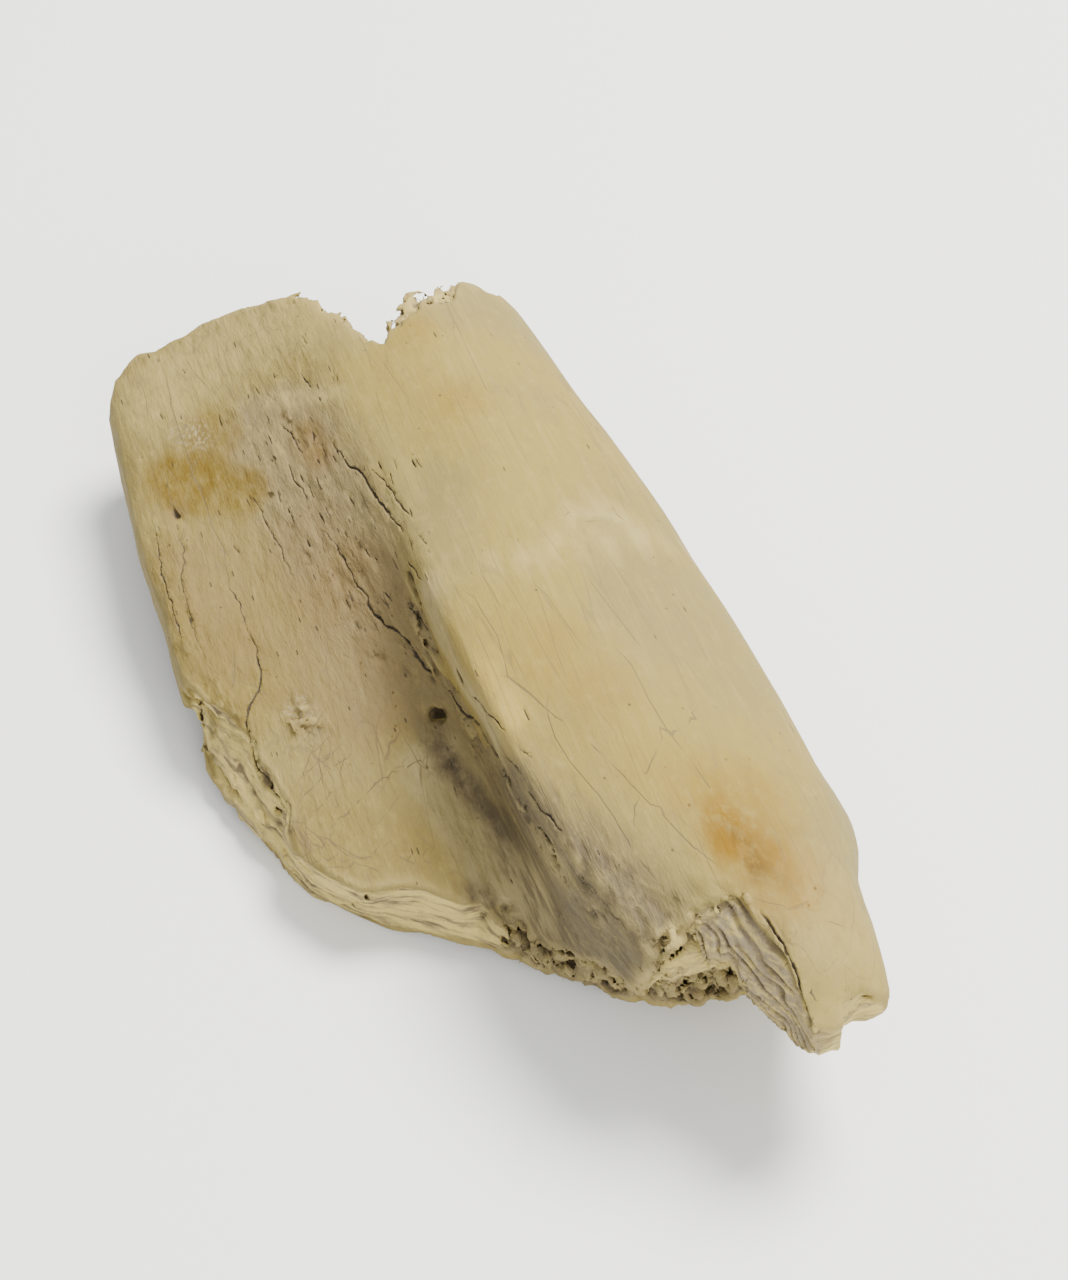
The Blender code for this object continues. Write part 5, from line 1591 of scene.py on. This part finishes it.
def hairlines(g, at):
    """The hairline cracks that follow the photo, and fainter webs of them between."""
    found = []
    for number in range(1, len(HAIRLINES) + 1):
        signed, strength, _ = g.attribute(f"hairlines_{number}")
        found.append(g.times(g.ramp(g.maths("ABSOLUTE", signed), 0.13, 0.03), g.ramp(strength, 0.0, 0.9)))
    lines = functools.reduce(lambda first, second: g.maths("MAXIMUM", first, second), found)
    webs = g.cells(*RIDGE_WEB).outputs["Distance"]
    ridge = g.times(g.ramp(webs, 0.030, 0.008), g.ramp(g.noise(*RIDGE_WEB_PLACES), 0.46, 0.62))
    webs = g.cells(*PLATE_WEB).outputs["Distance"]
    plate = g.times(g.ramp(webs, 0.035, 0.01), at.plate, g.ramp(g.noise(*PLATE_WEB_PLACES), 0.42, 0.58))
    return g.times(lines, at.skin), g.times(g.maths("MAXIMUM", ridge, plate), at.skin)


def broken_colour(g, at):
    """Broken faces: pale dense bone in layers, browner in the sponge, grey on the fibrous wall."""
    layers = g.noise(*LAYERS)
    return g.coats(
        g.mix(g.ramp(layers, 0.36, 0.58), BROKEN_DEEP, BROKEN_PALE),
        (g.ramp(layers, 0.43, 0.35, 0.0, 0.6), FURROW_BROWN),
        (g.times(at.sponge, g.ramp(at.rough_patch, 0.3, 0.6, 1.0, 0.65)), SPONGE_BROWN),
        (g.times(at.wall, g.ramp(g.noise(*WALL_FIBRES), 0.42, 0.62, 1.0, 0.35)), WALL_GREY),
        (g.times(at.pale, 0.8), PALE_CREAM),
        # painted shade in crevices, and groove stain
        (g.times(at.groove, 0.9), GROOVE_STAIN_AND_SHADE),
    )


def dirt_shade_and_highlights(g, at, colour):
    """Dirt and painted shade in what is hollow, dark cracks, darker gaps between the wall's ribs, and a
    painted highlight on what stands out.
    """
    hollow = g.plus(at.close, g.times(g.minus(at.mottle, 0.5), 0.10))
    signed, width, between = g.attribute("cracks")
    crack = g.ramp(g.minus(width, g.maths("ABSOLUTE", signed)), 0.0, 0.06)
    return g.coats(
        colour,
        # dirt and painted shade in hollows
        (g.ramp(hollow, 0.56, 0.76, 0.0, 0.88), DIRT_AND_SHADE),
        # painted highlight on edges that stand out
        (g.ramp(hollow, 0.44, 0.30, 0.0, 0.35), PALE_CREAM),
        (g.times(crack, g.ramp(at.rough_patch, 0.3, 0.6, 0.7, 0.95)), CRACK_DARK),
        # darker in the gaps between the wall's ribs
        (g.ramp(between, 0.15, 1.0, 0.0, 0.7), DIRT_AND_SHADE),
    )


def relief(g, at, lines, faint, pore):
    """Height of the finest relief, in millimetres: each noise about its middle, times its own height."""
    noises = [
        (g.noise(*FINE_STREAKS), 0.05),
        (at.streaks, g.plus(g.times(at.flank, 0.5), 0.12)),
        (g.noise(*GRAIN), g.plus(g.times(at.broken, 0.16), 0.035)),
        (at.mottle, g.plus(g.times(at.broken, 0.35), 0.08)),
        (g.noise(*SURFACE_WRINKLES), g.plus(g.times(at.plate, 0.5), 0.08)),
    ]
    height = g.plus(*(g.times(g.minus(noise, 0.5), amount) for noise, amount in noises))
    height = g.minus(height, g.times(g.maths("MAXIMUM", lines, g.times(faint, 0.5)), 0.05))
    return g.minus(height, g.times(pore, 0.3))


def bone_material():
    material = bpy.data.materials.new("fossil_bone_surface")
    g = Graph(material)
    at = surface_parts(g)
    lines, faint = hairlines(g, at)
    pore = fibre_pores(g, at)
    line_colour = g.mix(at.webbed, HAIRLINE_COLOUR, WEB_BROWN)
    colour = g.coats(
        specked(g, at, stained(g, at, skin_colour(g, at))),
        (g.times(faint, g.plus(g.times(at.webbed, 0.5), 0.24)), line_colour),
        (g.times(lines, g.plus(g.times(at.webbed, 0.2), 0.7)), line_colour),
        (g.times(pore, 0.8), DIRT_AND_SHADE),
        (g.times(at.broken, 0.9), broken_colour(g, at)),
    )
    g.feed(g.shader.inputs["Base Color"], dirt_shade_and_highlights(g, at, colour))
    bump = g.node("ShaderNodeBump")
    g.feed(bump.inputs["Height"], g.times(relief(g, at, lines, faint, pore), MM))
    g.feed(bump.inputs["Distance"], 1.0)
    g.feed(bump.inputs["Strength"], BUMP_STRENGTH)
    g.feed(g.shader.inputs["Normal"], bump.outputs["Normal"])
    g.feed(g.shader.inputs["Roughness"], g.ramp(at.mottle, 0.3, 0.7, *ROUGHNESS))
    g.shader.inputs["Specular IOR Level"].default_value = SPECULAR_LEVEL
    return material


bone = bone_piece()
bone.data.materials.clear()
bone.data.materials.append(bone_material())
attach(bone, "root")
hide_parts("rib_bone")

# ---------------------------------------------------------------- floor, light and camera

FLOOR_SIZE = 3.0
FLOOR_COLOUR = (0.80, 0.80, 0.78, 1.0)
FLOOR_ROUGHNESS = 0.6
SKY_COLOUR = (0.95, 0.97, 1.0, 1.0)
SKY_STRENGTH = 1.05
# Soft lamps: name, the way to it from the bone, distance and size in metres, power, colour.
LAMPS = [
    ("key", (0.46, 0.22, 1.0), 1.2, 0.6, 42.0, (1.0, 0.98, 0.94)),
    ("fill", (0.15, -1.0, 0.6), 1.5, 0.9, 19.0, (1.0, 0.99, 0.97)),
]
CLIP_START = 0.01

bpy.ops.mesh.primitive_plane_add(size=FLOOR_SIZE, location=(0.0, 0.0, 0.0))
floor = bpy.context.object
floor.name = "floor"
pale = bpy.data.materials.new("pale_floor")
pale.use_nodes = True
pale.node_tree.nodes["Principled BSDF"].inputs["Base Color"].default_value = FLOOR_COLOUR
pale.node_tree.nodes["Principled BSDF"].inputs["Roughness"].default_value = FLOOR_ROUGHNESS
floor.data.materials.append(pale)

world = bpy.data.worlds.new("studio")
world.use_nodes = True
world.node_tree.nodes["Background"].inputs["Color"].default_value = SKY_COLOUR
world.node_tree.nodes["Background"].inputs["Strength"].default_value = SKY_STRENGTH
bpy.context.scene.world = world

for name, way, distance, size, power, colour in LAMPS:
    light = bpy.data.lights.new(name, "AREA")
    light.shape = "DISK"
    light.size = size
    light.energy = power
    light.color = colour
    lamp = bpy.data.objects.new(name, light)
    direction = Vector(way).normalized()
    lamp.location = direction * distance
    lamp.rotation_euler = direction.to_track_quat("Z", "Y").to_euler()
    bpy.context.scene.collection.objects.link(lamp)

camera = bpy.data.cameras.new("camera")
camera.lens = LENS
camera.sensor_width = SENSOR
camera.clip_start = CLIP_START
camera_object = bpy.data.objects.new("camera", camera)
camera_object.location = Vector(row_frame(CAMERA_PLACE))
camera_object.rotation_mode = "QUATERNION"
camera_object.rotation_quaternion = Vector(-FORWARD).to_track_quat("Z", "Y")
bpy.context.scene.collection.objects.link(camera_object)
bpy.context.scene.camera = camera_object
